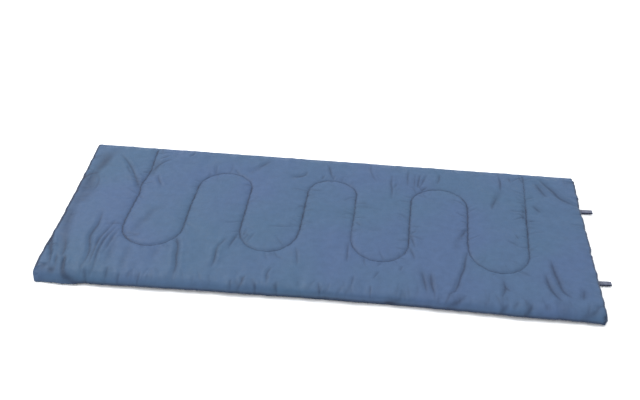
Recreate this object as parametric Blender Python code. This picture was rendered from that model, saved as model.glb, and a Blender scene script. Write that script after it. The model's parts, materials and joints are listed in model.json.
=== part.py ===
"""A rectangular sleeping bag, lying closed and flat on the ground.

Two quilts lie on each other. Each is an outer shell, a batting pad and a lining. They meet in a
fold along the far side, and an L-shaped zip joins them along the near side and round the foot.
The head end stays open. Two webbing loops hang from the foot.

Metres. +X runs from the head to the foot, +Y from the zip side to the fold, +Z up. The origin is
the centre of the underside. "Inset" is a distance inwards from the bag's outline, and "height" is
counted from the middle plane, where the two halves meet: below it all belongs to the lower quilt,
above it all belongs to the upper one, so the bag opens flat about its fold without a collision.
"""

import math

import bmesh
import bpy
from mathutils import Vector

# Driving dimensions
LENGTH = 1.900
WIDTH = 0.750
QUILT = 0.018
POCKET = 0.008
SHELL_CLOTH = 0.0008
LINING_CLOTH = 0.0006
TOUCH = 0.0003
CLEARANCE = 0.0004

MIDDLE = QUILT + POCKET / 2
HALF_LENGTH = LENGTH / 2
HALF_WIDTH = WIDTH / 2

# Corner radii of the outline
HEAD_RADIUS = 0.012
NEAR_FOOT_RADIUS = 0.020
FAR_FOOT_RADIUS = 0.018
LEAST_RADIUS = 0.003
CORNER_STEPS = 6
MITRE_LIMIT = 0.5
SHARP_ANGLE = math.radians(35)

# Cross-sections of one half as (inset, height). The shells run from the seam outwards and round.
SEAM_INSET = 0.0090
SEAM_HEIGHT = 0.0095
LOWER_SHELL = [
    (SEAM_INSET, -SEAM_HEIGHT),
    (0.0030, -0.0120),
    (0.0000, -0.0155),
    (0.0035, -0.0197),
    (0.0120, -MIDDLE),
    (0.1000, -MIDDLE),
]
UPPER_SHELL = [
    (SEAM_INSET, SEAM_HEIGHT),
    (0.0030, 0.0120),
    (0.0000, 0.0150),
    (0.0035, 0.0181),
    (0.0120, 0.0196),
    (0.0300, 0.0208),
    (0.0600, 0.0217),
    (0.1000, MIDDLE),
]
FOLD_REACH = 0.0132
# The lining of the lower quilt, from its edge inwards. The upper one is its mirror image.
LINING = [
    (0.0096, -0.0088),
    (0.0200, -0.0065),
    (0.0450, -0.0045),
    (0.0800, -POCKET / 2),
]

# Serpentine quilting seam: straight runs across the bag joined by half circles
SEAM_RUNS = 8
SEAM_PITCH = 0.207
FIRST_RUN = 0.236
ARC_LOW = 0.164
ARC_HIGH = 0.600
SEAM_END_INSET = 0.016
ARC_STEPS = 10
# Insets at which the seam's straight ends follow the rounding of the quilt
EDGE_STOPS = [SEAM_END_INSET, 0.022, 0.030, 0.045, 0.060, 0.080, 0.100]
THREAD_RADIUS = 0.0006

# Zip: tape, coil and slider, as insets and as distances from the middle plane
TAPE_INSET = (0.0042, 0.0050)
COIL_INSET = (0.0031, 0.0061)
TAPE_TOP = 0.0035
COIL_SPAN = (0.0010, 0.0032)
ZIP_CENTRE = (COIL_INSET[0] + COIL_INSET[1]) / 2
ZIP_START = -HALF_LENGTH + HEAD_RADIUS
ZIP_END = HALF_WIDTH - 0.030
STOP_LENGTH = 0.0030
FITTING_LENGTH = 0.0110
FITTING_INSET = (0.0018, 0.0074)
FITTING_HEIGHT = 0.0065

# Binding at the head: insets of its nose, its round and its height from the middle plane
BINDING_NOSE = 0.0012
BINDING_INSET = 0.0030
BINDING_SPAN = (0.0056, 0.0090)

SLIDER_LENGTH = 0.026
SLIDER_GAP = 0.0020
SLIDER_X = ZIP_START + STOP_LENGTH + SLIDER_GAP + SLIDER_LENGTH / 2
# Half height of the slider from its head end to its foot end, by share of its half length
SLIDER_STATIONS = [(-1.0, 0.0052), (-0.8, 0.0063), (0.1, 0.0063), (0.75, 0.0052), (1.0, 0.0046)]
SLIDER_PLATE = 0.0013
SLIDER_WEB = 0.0006
SLIDER_CHANNEL = COIL_SPAN[1] + CLEARANCE
EAR_THICKNESS = 0.0012
EAR_REACH = 0.0014
PIN_OFFSET = 0.0030
PIN_RADIUS = 0.0006
EYE_RADIUS = 0.0017
PULL_LENGTH = 0.034
PULL_WIDTH = 0.0074
PULL_THICKNESS = 0.0014
# Shoulder of the pull tab: distance from the pin, and share of the half width
PULL_SHOULDER = [(0.0012, 1.0), (0.0060, 1.0), (0.0110, 0.7)]

# Webbing loops at the foot
LOOP_DISTANCE = 0.178
LOOP_WIDTH = 0.018
LOOP_RADIUS = 0.0045
LOOP_CLOTH = 0.0014
LOOP_STRAIGHT = 0.045
LOOP_AXIS = (HALF_LENGTH + 0.0047, 0.0055)

# Facets of a half circle
ROUND_STEPS = 8


def srgb(red, green, blue):
    """A display colour, 0 to 255 a channel, as the linear colour that a shader takes."""

    def linear(value):
        value /= 255
        return value / 12.92 if value < 0.04045 else ((value + 0.055) / 1.055) ** 2.4

    return (linear(red), linear(green), linear(blue), 1.0)


def material(name, colour, roughness, metallic=0.0):
    made = bpy.data.materials.new(name)
    made.use_nodes = True
    shader = made.node_tree.nodes["Principled BSDF"]
    shader.inputs["Base Color"].default_value = colour
    shader.inputs["Roughness"].default_value = roughness
    shader.inputs["Metallic"].default_value = metallic
    made.diffuse_color = colour
    return made


def clear_scene():
    for old in list(bpy.data.objects):
        bpy.data.objects.remove(old)


def add_object(name, data, finish, origin=(0, 0, 0)):
    """Links a mesh or curve whose points are in world space as an object with that origin."""
    offset = Vector(origin)
    if isinstance(data, bpy.types.Mesh):
        for vertex in data.vertices:
            vertex.co -= offset
    data.materials.append(finish)
    made = bpy.data.objects.new(name, data)
    made.location = offset
    bpy.context.scene.collection.objects.link(made)
    return made


def mesh_from(name, rings, capped=True, closed=False):
    """A closed mesh through rings of points: capped at both ends, or the last joined to the first."""
    shape = bmesh.new()
    loops = [[shape.verts.new(point) for point in ring] for ring in rings]
    pairs = list(zip(loops, loops[1:]))
    if closed:
        pairs.append((loops[-1], loops[0]))
    for lower, upper in pairs:
        for i in range(len(lower)):
            j = (i + 1) % len(lower)
            shape.faces.new((lower[i], lower[j], upper[j], upper[i]))
    if capped:
        shape.faces.new(reversed(loops[0]))
        shape.faces.new(loops[-1])
    bmesh.ops.recalc_face_normals(shape, faces=shape.faces)
    mesh = bpy.data.meshes.new(name)
    shape.to_mesh(mesh)
    shape.free()
    mesh.shade_smooth()
    mesh.set_sharp_from_angle(angle=SHARP_ANGLE)
    return mesh


# Outline and profiles


def corners():
    """(centre x, centre y, radius, first angle) of each corner, counter-clockwise from near foot."""
    x, y = HALF_LENGTH, HALF_WIDTH
    return [
        (x - NEAR_FOOT_RADIUS, -y + NEAR_FOOT_RADIUS, NEAR_FOOT_RADIUS, -90),
        (x - FAR_FOOT_RADIUS, y - FAR_FOOT_RADIUS, FAR_FOOT_RADIUS, 0),
        (-x + HEAD_RADIUS, y - HEAD_RADIUS, HEAD_RADIUS, 90),
        (-x + HEAD_RADIUS, -y + HEAD_RADIUS, HEAD_RADIUS, 180),
    ]


def outline(inset, height):
    """The bag's rounded rectangle at an inset and a height from the middle plane."""
    points = []
    for centre_x, centre_y, radius, first in corners():
        left = max(radius - inset, LEAST_RADIUS)
        shift = inset - (radius - left)
        pull_x = -math.copysign(shift, centre_x)
        pull_y = -math.copysign(shift, centre_y)
        for step in range(CORNER_STEPS + 1):
            angle = math.radians(first + 90 * step / CORNER_STEPS)
            x = centre_x + pull_x + left * math.cos(angle)
            y = centre_y + pull_y + left * math.sin(angle)
            points.append((x, y, MIDDLE + height))
    return points


def offset(profile, distance):
    """A profile moved sideways by a distance: to the left of its direction if positive."""
    moved = []
    for i, (inset, height) in enumerate(profile):
        before = Vector(profile[max(i - 1, 0)])
        after = Vector(profile[min(i + 1, len(profile) - 1)])
        here = Vector((inset, height))
        arriving = (here - before).normalized() if i else (after - here).normalized()
        leaving = (after - here).normalized() if i < len(profile) - 1 else arriving
        along = (arriving + leaving).normalized()
        across = Vector((-along.y, along.x))
        spread = distance / max(along.dot(leaving), MITRE_LIMIT)
        moved.append(tuple(here + across * spread))
    return moved


def ring_solid(name, profile, finish):
    """A solid whose cross-section is the profile all the way round the bag, with flat middles."""
    rings = [outline(inset, height) for inset, height in profile]
    return add_object(name, mesh_from(name, rings), finish)


def cloth_layer(name, profile, thickness, finish):
    """A sheet of cloth on a profile, thickened to the profile's left if thickness is positive."""
    inner = offset(profile, thickness)
    return ring_solid(name, profile[::-1] + inner, finish)


def mirrored(profile):
    return [(inset, -height) for inset, height in profile]


def quilt_layers(side, shell, lining, inwards, finishes):
    """Outer shell, batting and lining of one quilt. inwards is 1 if left of the shell is inside."""
    cloth_layer(f"{side}_shell", shell, inwards * SHELL_CLOTH, finishes["shell"])
    cloth_layer(f"{side}_lining", lining, -inwards * LINING_CLOTH, finishes["lining"])
    against_shell = offset(shell, inwards * (SHELL_CLOTH + CLEARANCE))
    against_lining = offset(lining, -inwards * (LINING_CLOTH + CLEARANCE))
    against_lining[0] = (against_lining[0][0] + CLEARANCE, against_lining[0][1])
    profile = against_shell[::-1] + against_lining
    ring_solid(f"{side}_batting", profile, finishes["batting"])


# Strips that follow the outline


def edge_path(start_x, end_y):
    """(point, outward direction) along the near side, round the near foot corner, up the foot."""
    path = [((start_x, -HALF_WIDTH), (0, -1))]
    centre_x, centre_y, radius, first = corners()[0]
    for step in range(CORNER_STEPS + 1):
        angle = math.radians(first + 90 * step / CORNER_STEPS)
        normal = (math.cos(angle), math.sin(angle))
        point = (centre_x + radius * normal[0], centre_y + radius * normal[1])
        path.append((point, normal))
    path.append(((HALF_LENGTH, end_y), (1, 0)))
    return path


def strip(name, section, path, finish):
    """Sweeps a section of (inset, height) points along a path."""
    rings = []
    for (x, y), (normal_x, normal_y) in path:
        ring = [
            (x - inset * normal_x, y - inset * normal_y, MIDDLE + height)
            for inset, height in section
        ]
        rings.append(ring)
    return add_object(name, mesh_from(name, rings), finish)


def rectangle(insets, heights):
    return [
        (insets[0], heights[0]),
        (insets[1], heights[0]),
        (insets[1], heights[1]),
        (insets[0], heights[1]),
    ]


def tape_section(sign):
    """Zip tape: a leg sewn on at the quilt's seam, and a leg up to the coil."""
    foot = sign * (SEAM_HEIGHT - TOUCH)
    step = sign * (SEAM_HEIGHT - TOUCH - SHELL_CLOTH)
    top = sign * TAPE_TOP
    sewn = SEAM_INSET - TOUCH
    return [
        (TAPE_INSET[0], foot),
        (sewn, foot),
        (sewn, step),
        (TAPE_INSET[1], step),
        (TAPE_INSET[1], top),
        (TAPE_INSET[0], top),
    ]


def fold_section(sign):
    """The shell's fold, one half: from the quilt's side up to the hinge line, with its seam leg."""
    skin = TOUCH + SHELL_CLOTH
    seam = SEAM_INSET - TOUCH
    low = sign * (SEAM_HEIGHT - TOUCH)
    high = low - sign * SHELL_CLOTH
    return [
        (TOUCH, sign * FOLD_REACH),
        (skin, sign * FOLD_REACH),
        (skin, low),
        (seam, low),
        (seam, high),
        (skin, high),
        (skin, sign * TOUCH),
        (TOUCH, sign * TOUCH),
    ]


def binding_section(sign):
    """Binding over the raw edge at the head."""
    inner, outer = (sign * height for height in BINDING_SPAN)
    seam = SEAM_INSET - TOUCH
    return [
        (BINDING_INSET, outer),
        (seam, outer),
        (seam, inner),
        (BINDING_INSET, inner),
        (BINDING_NOSE, (inner + outer) / 2),
    ]


def zip_half(side, sign, finishes):
    """Tape, coil, top stop and end fitting of one half of the zip."""
    path = edge_path(ZIP_START, ZIP_END)
    strip(f"{side}_zip_tape", tape_section(sign), path, finishes["tape"])
    coil = rectangle(COIL_INSET, [sign * height for height in COIL_SPAN])
    after_stop = ZIP_START + STOP_LENGTH + TOUCH
    strip(f"{side}_zip_coil", coil, edge_path(after_stop, ZIP_END), finishes["coil"])
    stop = [((ZIP_START, -HALF_WIDTH), (0, -1)), ((after_stop - TOUCH, -HALF_WIDTH), (0, -1))]
    strip(f"{side}_zip_top_stop", coil, stop, finishes["metal"])
    fitting = rectangle(FITTING_INSET, (TOUCH * sign, FITTING_HEIGHT * sign))
    first = ZIP_END + TOUCH
    end = [((HALF_LENGTH, first), (1, 0)), ((HALF_LENGTH, first + FITTING_LENGTH), (1, 0))]
    name = "zip_end_box" if sign < 0 else "zip_end_pin"
    strip(name, fitting, end, finishes["fitting"])


def straight_edges(side, sign, finishes):
    """The fold along the far side and the binding across the head, for one quilt."""
    first = -HALF_LENGTH + HEAD_RADIUS
    last = HALF_LENGTH - FAR_FOOT_RADIUS
    fold = [((first, HALF_WIDTH), (0, 1)), ((last, HALF_WIDTH), (0, 1))]
    strip(f"{side}_shell_fold", fold_section(sign), fold, finishes["shell"])
    reach = HALF_WIDTH - HEAD_RADIUS
    head = [((-HALF_LENGTH, -reach), (-1, 0)), ((-HALF_LENGTH, reach), (-1, 0))]
    strip(f"{side}_head_binding", binding_section(sign), head, finishes["binding"])


# Quilting thread


def quilting_plan():
    """(x, distance from the near side) along the seam: up and down across the bag, in half circles."""
    radius = SEAM_PITCH / 2
    first_x = FIRST_RUN - HALF_LENGTH
    low = ARC_LOW + radius
    high = ARC_HIGH - radius
    points = edge_run(first_x, high)
    for run in range(1, SEAM_RUNS):
        centre = first_x + (run - 0.5) * SEAM_PITCH
        sign = -1 if run % 2 else 1
        level = low if run % 2 else high
        for step in range(ARC_STEPS + 1):
            angle = math.pi * step / ARC_STEPS
            x = centre - radius * math.cos(angle)
            points.append((x, level + sign * radius * math.sin(angle)))
    last_x = first_x + (SEAM_RUNS - 1) * SEAM_PITCH
    return points + edge_run(last_x, high)[::-1]


def edge_run(x, level):
    """Points from the seam's end at the fold side down to a level, closer where the quilt curves."""
    return [(x, WIDTH - inset) for inset in EDGE_STOPS if WIDTH - inset > level]


def height_at(profile, inset):
    """The height of a profile's inner stretch at an inset."""
    for (low, start), (high, end) in zip(profile[:-1], profile[1:]):
        if low <= inset <= high:
            return start + (end - start) * (inset - low) / (high - low)
    return profile[-1][1]


def quilting_thread(name, surface, finish):
    """The seam's thread, lying on the face of a quilt."""
    inner = [point for point in surface if point[0] >= LINING[0][0]]
    curve = bpy.data.curves.new(name, "CURVE")
    curve.dimensions = "3D"
    curve.bevel_depth = THREAD_RADIUS
    curve.bevel_resolution = 2
    curve.use_fill_caps = True
    plan = quilting_plan()
    spline = curve.splines.new("POLY")
    spline.points.add(len(plan) - 1)
    for point, (x, across) in zip(spline.points, plan):
        height = height_at(inner, min(across, WIDTH - across))
        z = MIDDLE + height + THREAD_RADIUS + CLEARANCE
        point.co = (x, across - HALF_WIDTH, z, 1)
    return add_object(name, curve, finish)


# Zip slider


def helper_box(name, low, high, finish):
    """A box that a Boolean joins to a part, itself not shown."""
    rings = [
        [(low[0], low[1], z), (high[0], low[1], z), (high[0], high[1], z), (low[0], high[1], z)]
        for z in (low[2], high[2])
    ]
    made = add_object(name, mesh_from(name, rings), finish)
    return hide_helper(made)


def hide_helper(made):
    made.hide_render = True
    made.display_type = "WIRE"
    return made


def round_bar(name, centre, radius, low, high, sides=12):
    """A mesh of a round bar along Z."""
    rings = []
    for z in (low, high):
        angles = [2 * math.pi * i / sides for i in range(sides)]
        ring = [
            (centre[0] + radius * math.cos(a), centre[1] + radius * math.sin(a), z)
            for a in angles
        ]
        rings.append(ring)
    return mesh_from(name, rings)


def combine(target, other, operation="UNION"):
    change = target.modifiers.new(other.name, "BOOLEAN")
    change.operation = operation
    change.object = other
    change.solver = "EXACT"


def slider_section(half_height):
    """H-shaped section: two plates, and the web between them that runs between the coils.

    The plates hold the lower coil with a flange each. Above, they leave it free to lift out.
    """
    outer = COIL_INSET[0] - CLEARANCE
    inner = COIL_INSET[1] + CLEARANCE
    outer_flange = TAPE_INSET[0] - TOUCH
    inner_flange = TAPE_INSET[1] + TOUCH
    above = [
        (outer - SLIDER_PLATE, half_height),
        (outer, half_height),
        (outer, SLIDER_WEB),
        (inner, SLIDER_WEB),
        (inner, half_height),
        (inner + SLIDER_PLATE, half_height),
    ]
    below = [
        (inner + SLIDER_PLATE, -half_height),
        (inner_flange, -half_height),
        (inner_flange, -SLIDER_CHANNEL),
        (inner, -SLIDER_CHANNEL),
        (inner, -SLIDER_WEB),
        (outer, -SLIDER_WEB),
        (outer, -SLIDER_CHANNEL),
        (outer_flange, -SLIDER_CHANNEL),
        (outer_flange, -half_height),
        (outer - SLIDER_PLATE, -half_height),
    ]
    return above + below


def pin_centre():
    """The pull's hinge pin, just outside the slider's outer plate."""
    face = COIL_INSET[0] - CLEARANCE - SLIDER_PLATE
    return (SLIDER_X + PIN_OFFSET, -HALF_WIDTH + face - EYE_RADIUS - CLEARANCE)


def zip_slider(finish):
    """The slider's body, wider towards the head, with two ears that hold the pull's pin."""
    rings = []
    for share, half_height in SLIDER_STATIONS:
        x = SLIDER_X + share * SLIDER_LENGTH / 2
        ring = [
            (x, -HALF_WIDTH + inset, MIDDLE + height)
            for inset, height in slider_section(half_height)
        ]
        rings.append(ring)
    origin = (SLIDER_X, -HALF_WIDTH + ZIP_CENTRE, MIDDLE)
    body = add_object("zip_slider_body", mesh_from("zip_slider_body", rings), finish, origin)
    pin_x, pin_y = pin_centre()
    plate_inside = -HALF_WIDTH + COIL_INSET[0] - CLEARANCE - SLIDER_PLATE / 2
    first = PULL_WIDTH / 2 + CLEARANCE
    for side, sign in (("low", -1), ("high", 1)):
        heights = sorted((MIDDLE + sign * first, MIDDLE + sign * (first + EAR_THICKNESS)))
        low = (pin_x - EAR_REACH, pin_y - EAR_REACH, heights[0])
        high = (pin_x + EAR_REACH, plate_inside, heights[1])
        combine(body, helper_box(f"ear_{side}", low, high, finish))
    reach = first + EAR_THICKNESS / 2
    bar = round_bar("pull_pin", (pin_x, pin_y), PIN_RADIUS, MIDDLE - reach, MIDDLE + reach)
    combine(body, hide_helper(add_object("pull_pin", bar, finish)))
    return body


def zip_pull(finish):
    """The pull tab: an eye round the pin, and a tongue that tapers and ends round."""
    pin_x, pin_y = pin_centre()
    half = PULL_WIDTH / 2
    eye = round_bar("zip_pull", (pin_x, pin_y), EYE_RADIUS, MIDDLE - half, MIDDLE + half)
    pull = add_object("zip_pull", eye, finish, (pin_x, pin_y, MIDDLE))
    outline_xz = [(x, -half * share) for x, share in PULL_SHOULDER]
    tip = PULL_LENGTH - half
    for step in range(ROUND_STEPS + 1):
        angle = math.pi * (step / ROUND_STEPS - 0.5)
        outline_xz.append((tip + half * math.cos(angle), half * math.sin(angle)))
    outline_xz += [(x, half * share) for x, share in reversed(PULL_SHOULDER)]
    rings = [
        [(pin_x + x, pin_y + side * PULL_THICKNESS / 2, MIDDLE + z) for x, z in outline_xz]
        for side in (-1, 1)
    ]
    tongue = hide_helper(add_object("pull_tongue", mesh_from("pull_tongue", rings), finish))
    combine(pull, tongue)
    hole_radius = PIN_RADIUS + CLEARANCE
    bore = round_bar("pull_bore", (pin_x, pin_y), hole_radius, MIDDLE - 2 * half, MIDDLE + 2 * half)
    combine(pull, hide_helper(add_object("pull_bore", bore, finish)), "DIFFERENCE")
    return pull


# Hanging loops


def hanging_loop(name, across, finish):
    """A strap folded back on itself, seen from the side as a flat oval ring."""
    axis_x, axis_z = LOOP_AXIS

    def oval(radius, y):
        points = []
        for centre, first in ((LOOP_STRAIGHT, -90), (0, 90)):
            for step in range(ROUND_STEPS + 1):
                angle = math.radians(first + 180 * step / ROUND_STEPS)
                x = axis_x + centre + radius * math.cos(angle)
                points.append((x, y, axis_z + radius * math.sin(angle)))
        return points

    low, high = across - LOOP_WIDTH / 2, across + LOOP_WIDTH / 2
    inside = LOOP_RADIUS - LOOP_CLOTH
    rings = [oval(LOOP_RADIUS, low), oval(LOOP_RADIUS, high), oval(inside, high), oval(inside, low)]
    mesh = mesh_from(name, rings, capped=False, closed=True)
    return add_object(name, mesh, finish, (axis_x, across, axis_z))


def make_finishes():
    blue = srgb(94, 119, 151)
    return {
        "shell": material("shell_fabric", blue, 0.55),
        "lining": material("lining_fabric", srgb(122, 136, 158), 0.65),
        "batting": material("batting", srgb(238, 240, 242), 0.95),
        "thread": material("thread", srgb(58, 74, 104), 0.6),
        "binding": material("binding", srgb(74, 86, 112), 0.7),
        "tape": material("zip_tape", srgb(56, 68, 98), 0.8),
        "coil": material("zip_coil", srgb(44, 54, 82), 0.4),
        "metal": material("zip_metal", srgb(150, 152, 156), 0.35, 0.9),
        "fitting": material("zip_end_fitting", srgb(176, 186, 190), 0.4),
        "webbing": material("loop_webbing", srgb(88, 100, 124), 0.75),
    }


def main():
    clear_scene()
    finishes = make_finishes()
    quilt_layers("lower", LOWER_SHELL, LINING, 1, finishes)
    quilt_layers("upper", UPPER_SHELL, mirrored(LINING), -1, finishes)
    for side, sign in (("lower", -1), ("upper", 1)):
        straight_edges(side, sign, finishes)
        zip_half(side, sign, finishes)
    quilting_thread("upper_quilting_thread", UPPER_SHELL[4:], finishes["thread"])
    quilting_thread("lower_quilting_thread", LINING, finishes["thread"])
    zip_slider(finishes["metal"])
    zip_pull(finishes["metal"])
    hanging_loop("near_hanging_loop", -HALF_WIDTH + LOOP_DISTANCE, finishes["webbing"])
    hanging_loop("far_hanging_loop", HALF_WIDTH - LOOP_DISTANCE, finishes["webbing"])


main()
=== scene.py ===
"""The looks of a rectangular sleeping bag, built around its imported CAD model.

Metres, in the CAD's frame: +X runs from the head to the foot, +Y from the zip side to the fold,
+Z up. An "inset" is a distance inwards from the bag's outline, and a "height" is counted from the
middle plane, where the two quilts meet. Lists of places are in millimetres, where they say so.
"""

import json
import math

import bpy
import numpy as np
from mathutils import Matrix, Vector


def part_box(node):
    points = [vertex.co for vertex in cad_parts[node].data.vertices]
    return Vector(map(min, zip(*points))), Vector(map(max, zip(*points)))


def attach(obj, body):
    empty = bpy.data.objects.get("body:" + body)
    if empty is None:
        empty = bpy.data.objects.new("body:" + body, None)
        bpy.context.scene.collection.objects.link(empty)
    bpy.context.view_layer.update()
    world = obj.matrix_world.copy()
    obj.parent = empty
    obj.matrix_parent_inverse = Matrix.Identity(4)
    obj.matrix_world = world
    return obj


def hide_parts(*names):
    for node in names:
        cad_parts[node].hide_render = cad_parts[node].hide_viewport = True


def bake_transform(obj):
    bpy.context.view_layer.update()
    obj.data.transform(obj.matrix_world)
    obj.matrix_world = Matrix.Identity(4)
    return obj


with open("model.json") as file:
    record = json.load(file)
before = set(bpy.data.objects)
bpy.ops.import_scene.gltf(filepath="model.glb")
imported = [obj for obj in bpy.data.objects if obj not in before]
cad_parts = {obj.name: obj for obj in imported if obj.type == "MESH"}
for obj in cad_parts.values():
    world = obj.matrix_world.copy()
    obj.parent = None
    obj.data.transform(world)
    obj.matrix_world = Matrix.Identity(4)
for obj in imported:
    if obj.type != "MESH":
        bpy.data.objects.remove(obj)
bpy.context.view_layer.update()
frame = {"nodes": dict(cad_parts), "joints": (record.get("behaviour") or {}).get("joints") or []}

JOINTS = {joint["name"]: joint for joint in frame["joints"]}
HALF_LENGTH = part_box("lower_shell")[1].x
HALF_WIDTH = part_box("lower_shell")[1].y
LENGTH = 2 * HALF_LENGTH
WIDTH = 2 * HALF_WIDTH
MIDDLE = JOINTS["fold_open"]["pos_m"][2]
GROUND = 0.0004

# Corner radii of the outline: head, near foot, far foot
HEAD_RADIUS = 0.012
NEAR_FOOT_RADIUS = 0.008
FAR_FOOT_RADIUS = 0.007

# Serpentine quilting seam, measured from the head and from the near side
SEAM_RUNS = 8
SEAM_PITCH = 0.207
SEAM_RADIUS = SEAM_PITCH / 2
FIRST_RUN = 0.236
ARC_LOW = 0.164
ARC_HIGH = 0.600
SEAM_END = WIDTH - 0.016
LOW_CENTRE = ARC_LOW + SEAM_RADIUS
HIGH_CENTRE = ARC_HIGH - SEAM_RADIUS
# How far the seam strays, in millimetres: each run towards the foot, at these distances from the
# near side, and each arc towards the far side
SWAY_LEVELS = (0.20, 0.30, 0.40, 0.45, 0.50, 0.55, 0.60, 0.70)
RUN_SWAY = [
    (-12, -10, -3, 2, -5, 5, 11, 7),
    (-3, -2, 0, 4, 7, 4, 2, 0),
    (-4, -5, -1, 0, 2, 8, 6, 0),
    (-12, 1, 6, 7, 11, 5, -4, 0),
    (-17, -21, -15, -14, -13, -3, -2, 0),
    (-23, -20, -17, -14, -12, -14, -8, 0),
    (-13, -17, -12, -9, -8, -4, 0, 0),
    (-12, -9, -2, -1, 3, 6, 9, 14),
]
ARC_SWAY = (-7, 8, 10, 8, 3, 0, -9)
# A finer shake of the seam, in millimetres: its height, its waves a metre times two pi, and the
# finer wave's share
SEAM_SHAKE = 0.7
RUN_WAVES = (190, 410)
ARC_WAVES = (170, 370)
FINE_SHAKE = 0.6
RUN_PHASE = 9

# Cloth grids: rows of cells that roll round the edge, and the plan inset that they end at
CELL = 0.0075
ROLL_ROWS = 9
ROLL_INSET = 0.030
ROLL_END = 1000 * ROLL_INSET
# The least corner radius of an inner row, as a share of the row's distance from the roll's end,
# and how near the seam a point lies, in cells, to be moved onto it
LEAST_RADIUS = 0.15
SNAP_SHARE = 0.499
# Straight pieces between two listed points of a smooth curve
CURVE_STEPS = 24

# Cross-sections of the cloth's edges as (inset, height) in millimetres, from the seam inwards
UPPER_EDGES = {
    "near": [
        (8.5, 10), (3, 9.4), (-2.8, 6.3), (-6.2, -4), (-8.4, -12.6), (-10.2, -14.2), (-11.4, -10.4),
        (-10.4, -2.4), (-7.4, 5.4), (-1.4, 11.4), (8, 15.6), (18, 17.6), (ROLL_END, 19),
    ],
    "foot": [
        (8.5, 10), (6, 9.8), (2.8, 7.8), (0.8, 2), (-0.8, -4), (-2, -5.2), (-2.8, -2), (-2.6, 4),
        (-0.6, 9.6), (6, 14.2), (16, 17), (ROLL_END, 19),
    ],
    "head": [
        (8.5, 10), (6, 9.8), (3.5, 9.9), (1.5, 10.3), (0.3, 11.4), (0.2, 12.6), (2, 14.2),
        (7, 15.8), (16, 17.4), (ROLL_END, 18.8),
    ],
    "far": [
        (0.6, 8.5), (0.6, 9.5), (1, 10.7), (2, 12), (3.8, 13.2), (7, 14.5), (12, 15.8),
        (19.5, 17.3), (ROLL_END, 18.6),
    ],
}
# The same near edge where the upper quilt's head corner lies splayed over the slider, and the
# distances from the head between which it becomes the plain one
FLAP_EDGE = [
    (8.5, 10), (0, 9.6), (-6.2, 7.6), (-11, -1), (-16, -11), (-19.6, -14.6), (-21.6, -13.6),
    (-19.6, -7), (-15, 1), (-8, 9.4), (2, 13.6), (14, 16), (ROLL_END, 17.6),
]
FLAP_SPAN = (0.105, 0.170)
# How far the near edge stands out, as a multiple of its section, by distance from the head
NEAR_REACH = [
    (0.00, 1.30), (0.11, 1.40), (0.18, 2.10), (0.25, 2.00), (0.37, 1.65), (0.67, 1.15),
    (0.97, 0.60), (1.28, 0.70), (1.60, 1.60), (1.90, 1.75),
]
# How far the upper quilt's head edge stands out, by distance from the near side, and over what
# length that fades
HEAD_REACH = [(0.0, 0.019), (0.12, 0.015), (0.30, 0.009), (0.60, 0.005), (WIDTH, 0.006)]
HEAD_FADE = 0.06
# How far the near head corner droops, and over what distance
CORNER_DROOP = 0.005
CORNER_SPAN = 0.035
# How far the near foot corner is drawn out, along, across and down, over what distance, and the
# share of the rolled rows where that is whole
FOOT_CORNER = (0.006, 0.005, 0.005)
FOOT_CORNER_SPAN = 0.018
FOOT_CORNER_ROWS = 0.25

LOWER_NEAR_EDGE = [
    (8.5, -10), (4.6, -10.6), (0.2, -12), (-4, -13.4), (-6.6, -15.8), (-6.4, -18.6), (-3, -20.6),
    (6, -21.3), (18, -21.5), (ROLL_END, -21.5),
]
LOWER_END_EDGE = [
    (8.5, -10), (5.2, -10.3), (2.4, -11.4), (0.6, -13.2), (0.2, -15.4), (1.4, -17.8), (4.6, -19.8),
    (10, -21), (19, -21.5), (ROLL_END, -21.5),
]
LOWER_FAR_EDGE = [
    (0.6, -8.5), (0.5, -9.7), (0.4, -11), (0.5, -12.4), (1, -14.2), (2.2, -16.2), (4.6, -18.2),
    (9, -20), (17, -21.2), (ROLL_END, -21.5),
]
LOWER_EDGES = {
    "near": LOWER_NEAR_EDGE,
    "foot": LOWER_END_EDGE,
    "head": LOWER_END_EDGE,
    "far": LOWER_FAR_EDGE,
}
LINING_SEWN_EDGE = [
    (9.4, 8.8), (12, 8.4), (17, 7.4), (23, 6.4), (ROLL_END, 5.6),
]
LINING_EDGES = {
    "near": LINING_SEWN_EDGE,
    "foot": LINING_SEWN_EDGE,
    "head": LINING_SEWN_EDGE,
    "far": [(1.4, 9.2), (5, 9), *LINING_SEWN_EDGE],
}
# Edges of the batting's outer and inner faces
OUTER_BATTING_EDGE = [
    (12.5, 9.7), (11.8, 9.8), (12.2, 9.9), (16, 9.8), (22, 10), (ROLL_END, 10.8),
]
INNER_BATTING_EDGE = [
    (12.5, 9.7), (13.2, 9.6), (16, 9.3), (22, 8.8), (ROLL_END, 8),
]
# The batting's faces lie between the shell and the lining: how far in from each, as a share of the
# way between them, how much further in on the seam, how far that reaches, and the seam's height
BATTING_SHARE = 0.15
BATTING_PINCH = 0.27
BATTING_REACH = 0.007
BATTING_SEAM = 0.0122

# How each cloth swells between its seams: heights well inside, and on the seam
UPPER_CROWN = (0.0234, 0.0164)
LOWER_CROWN = (0.0215, 0.0170)
LINING_CROWN = (0.0036, 0.0100)
CROWN_REACH = 0.080
# The seam draws the cloth down over a broad reach and a narrow one, in these shares
PUFF_REACH = 0.013
NOTCH_REACH = 0.0060
PUFF_SHARE = 0.7
NOTCH_SHARE = 0.3

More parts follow.
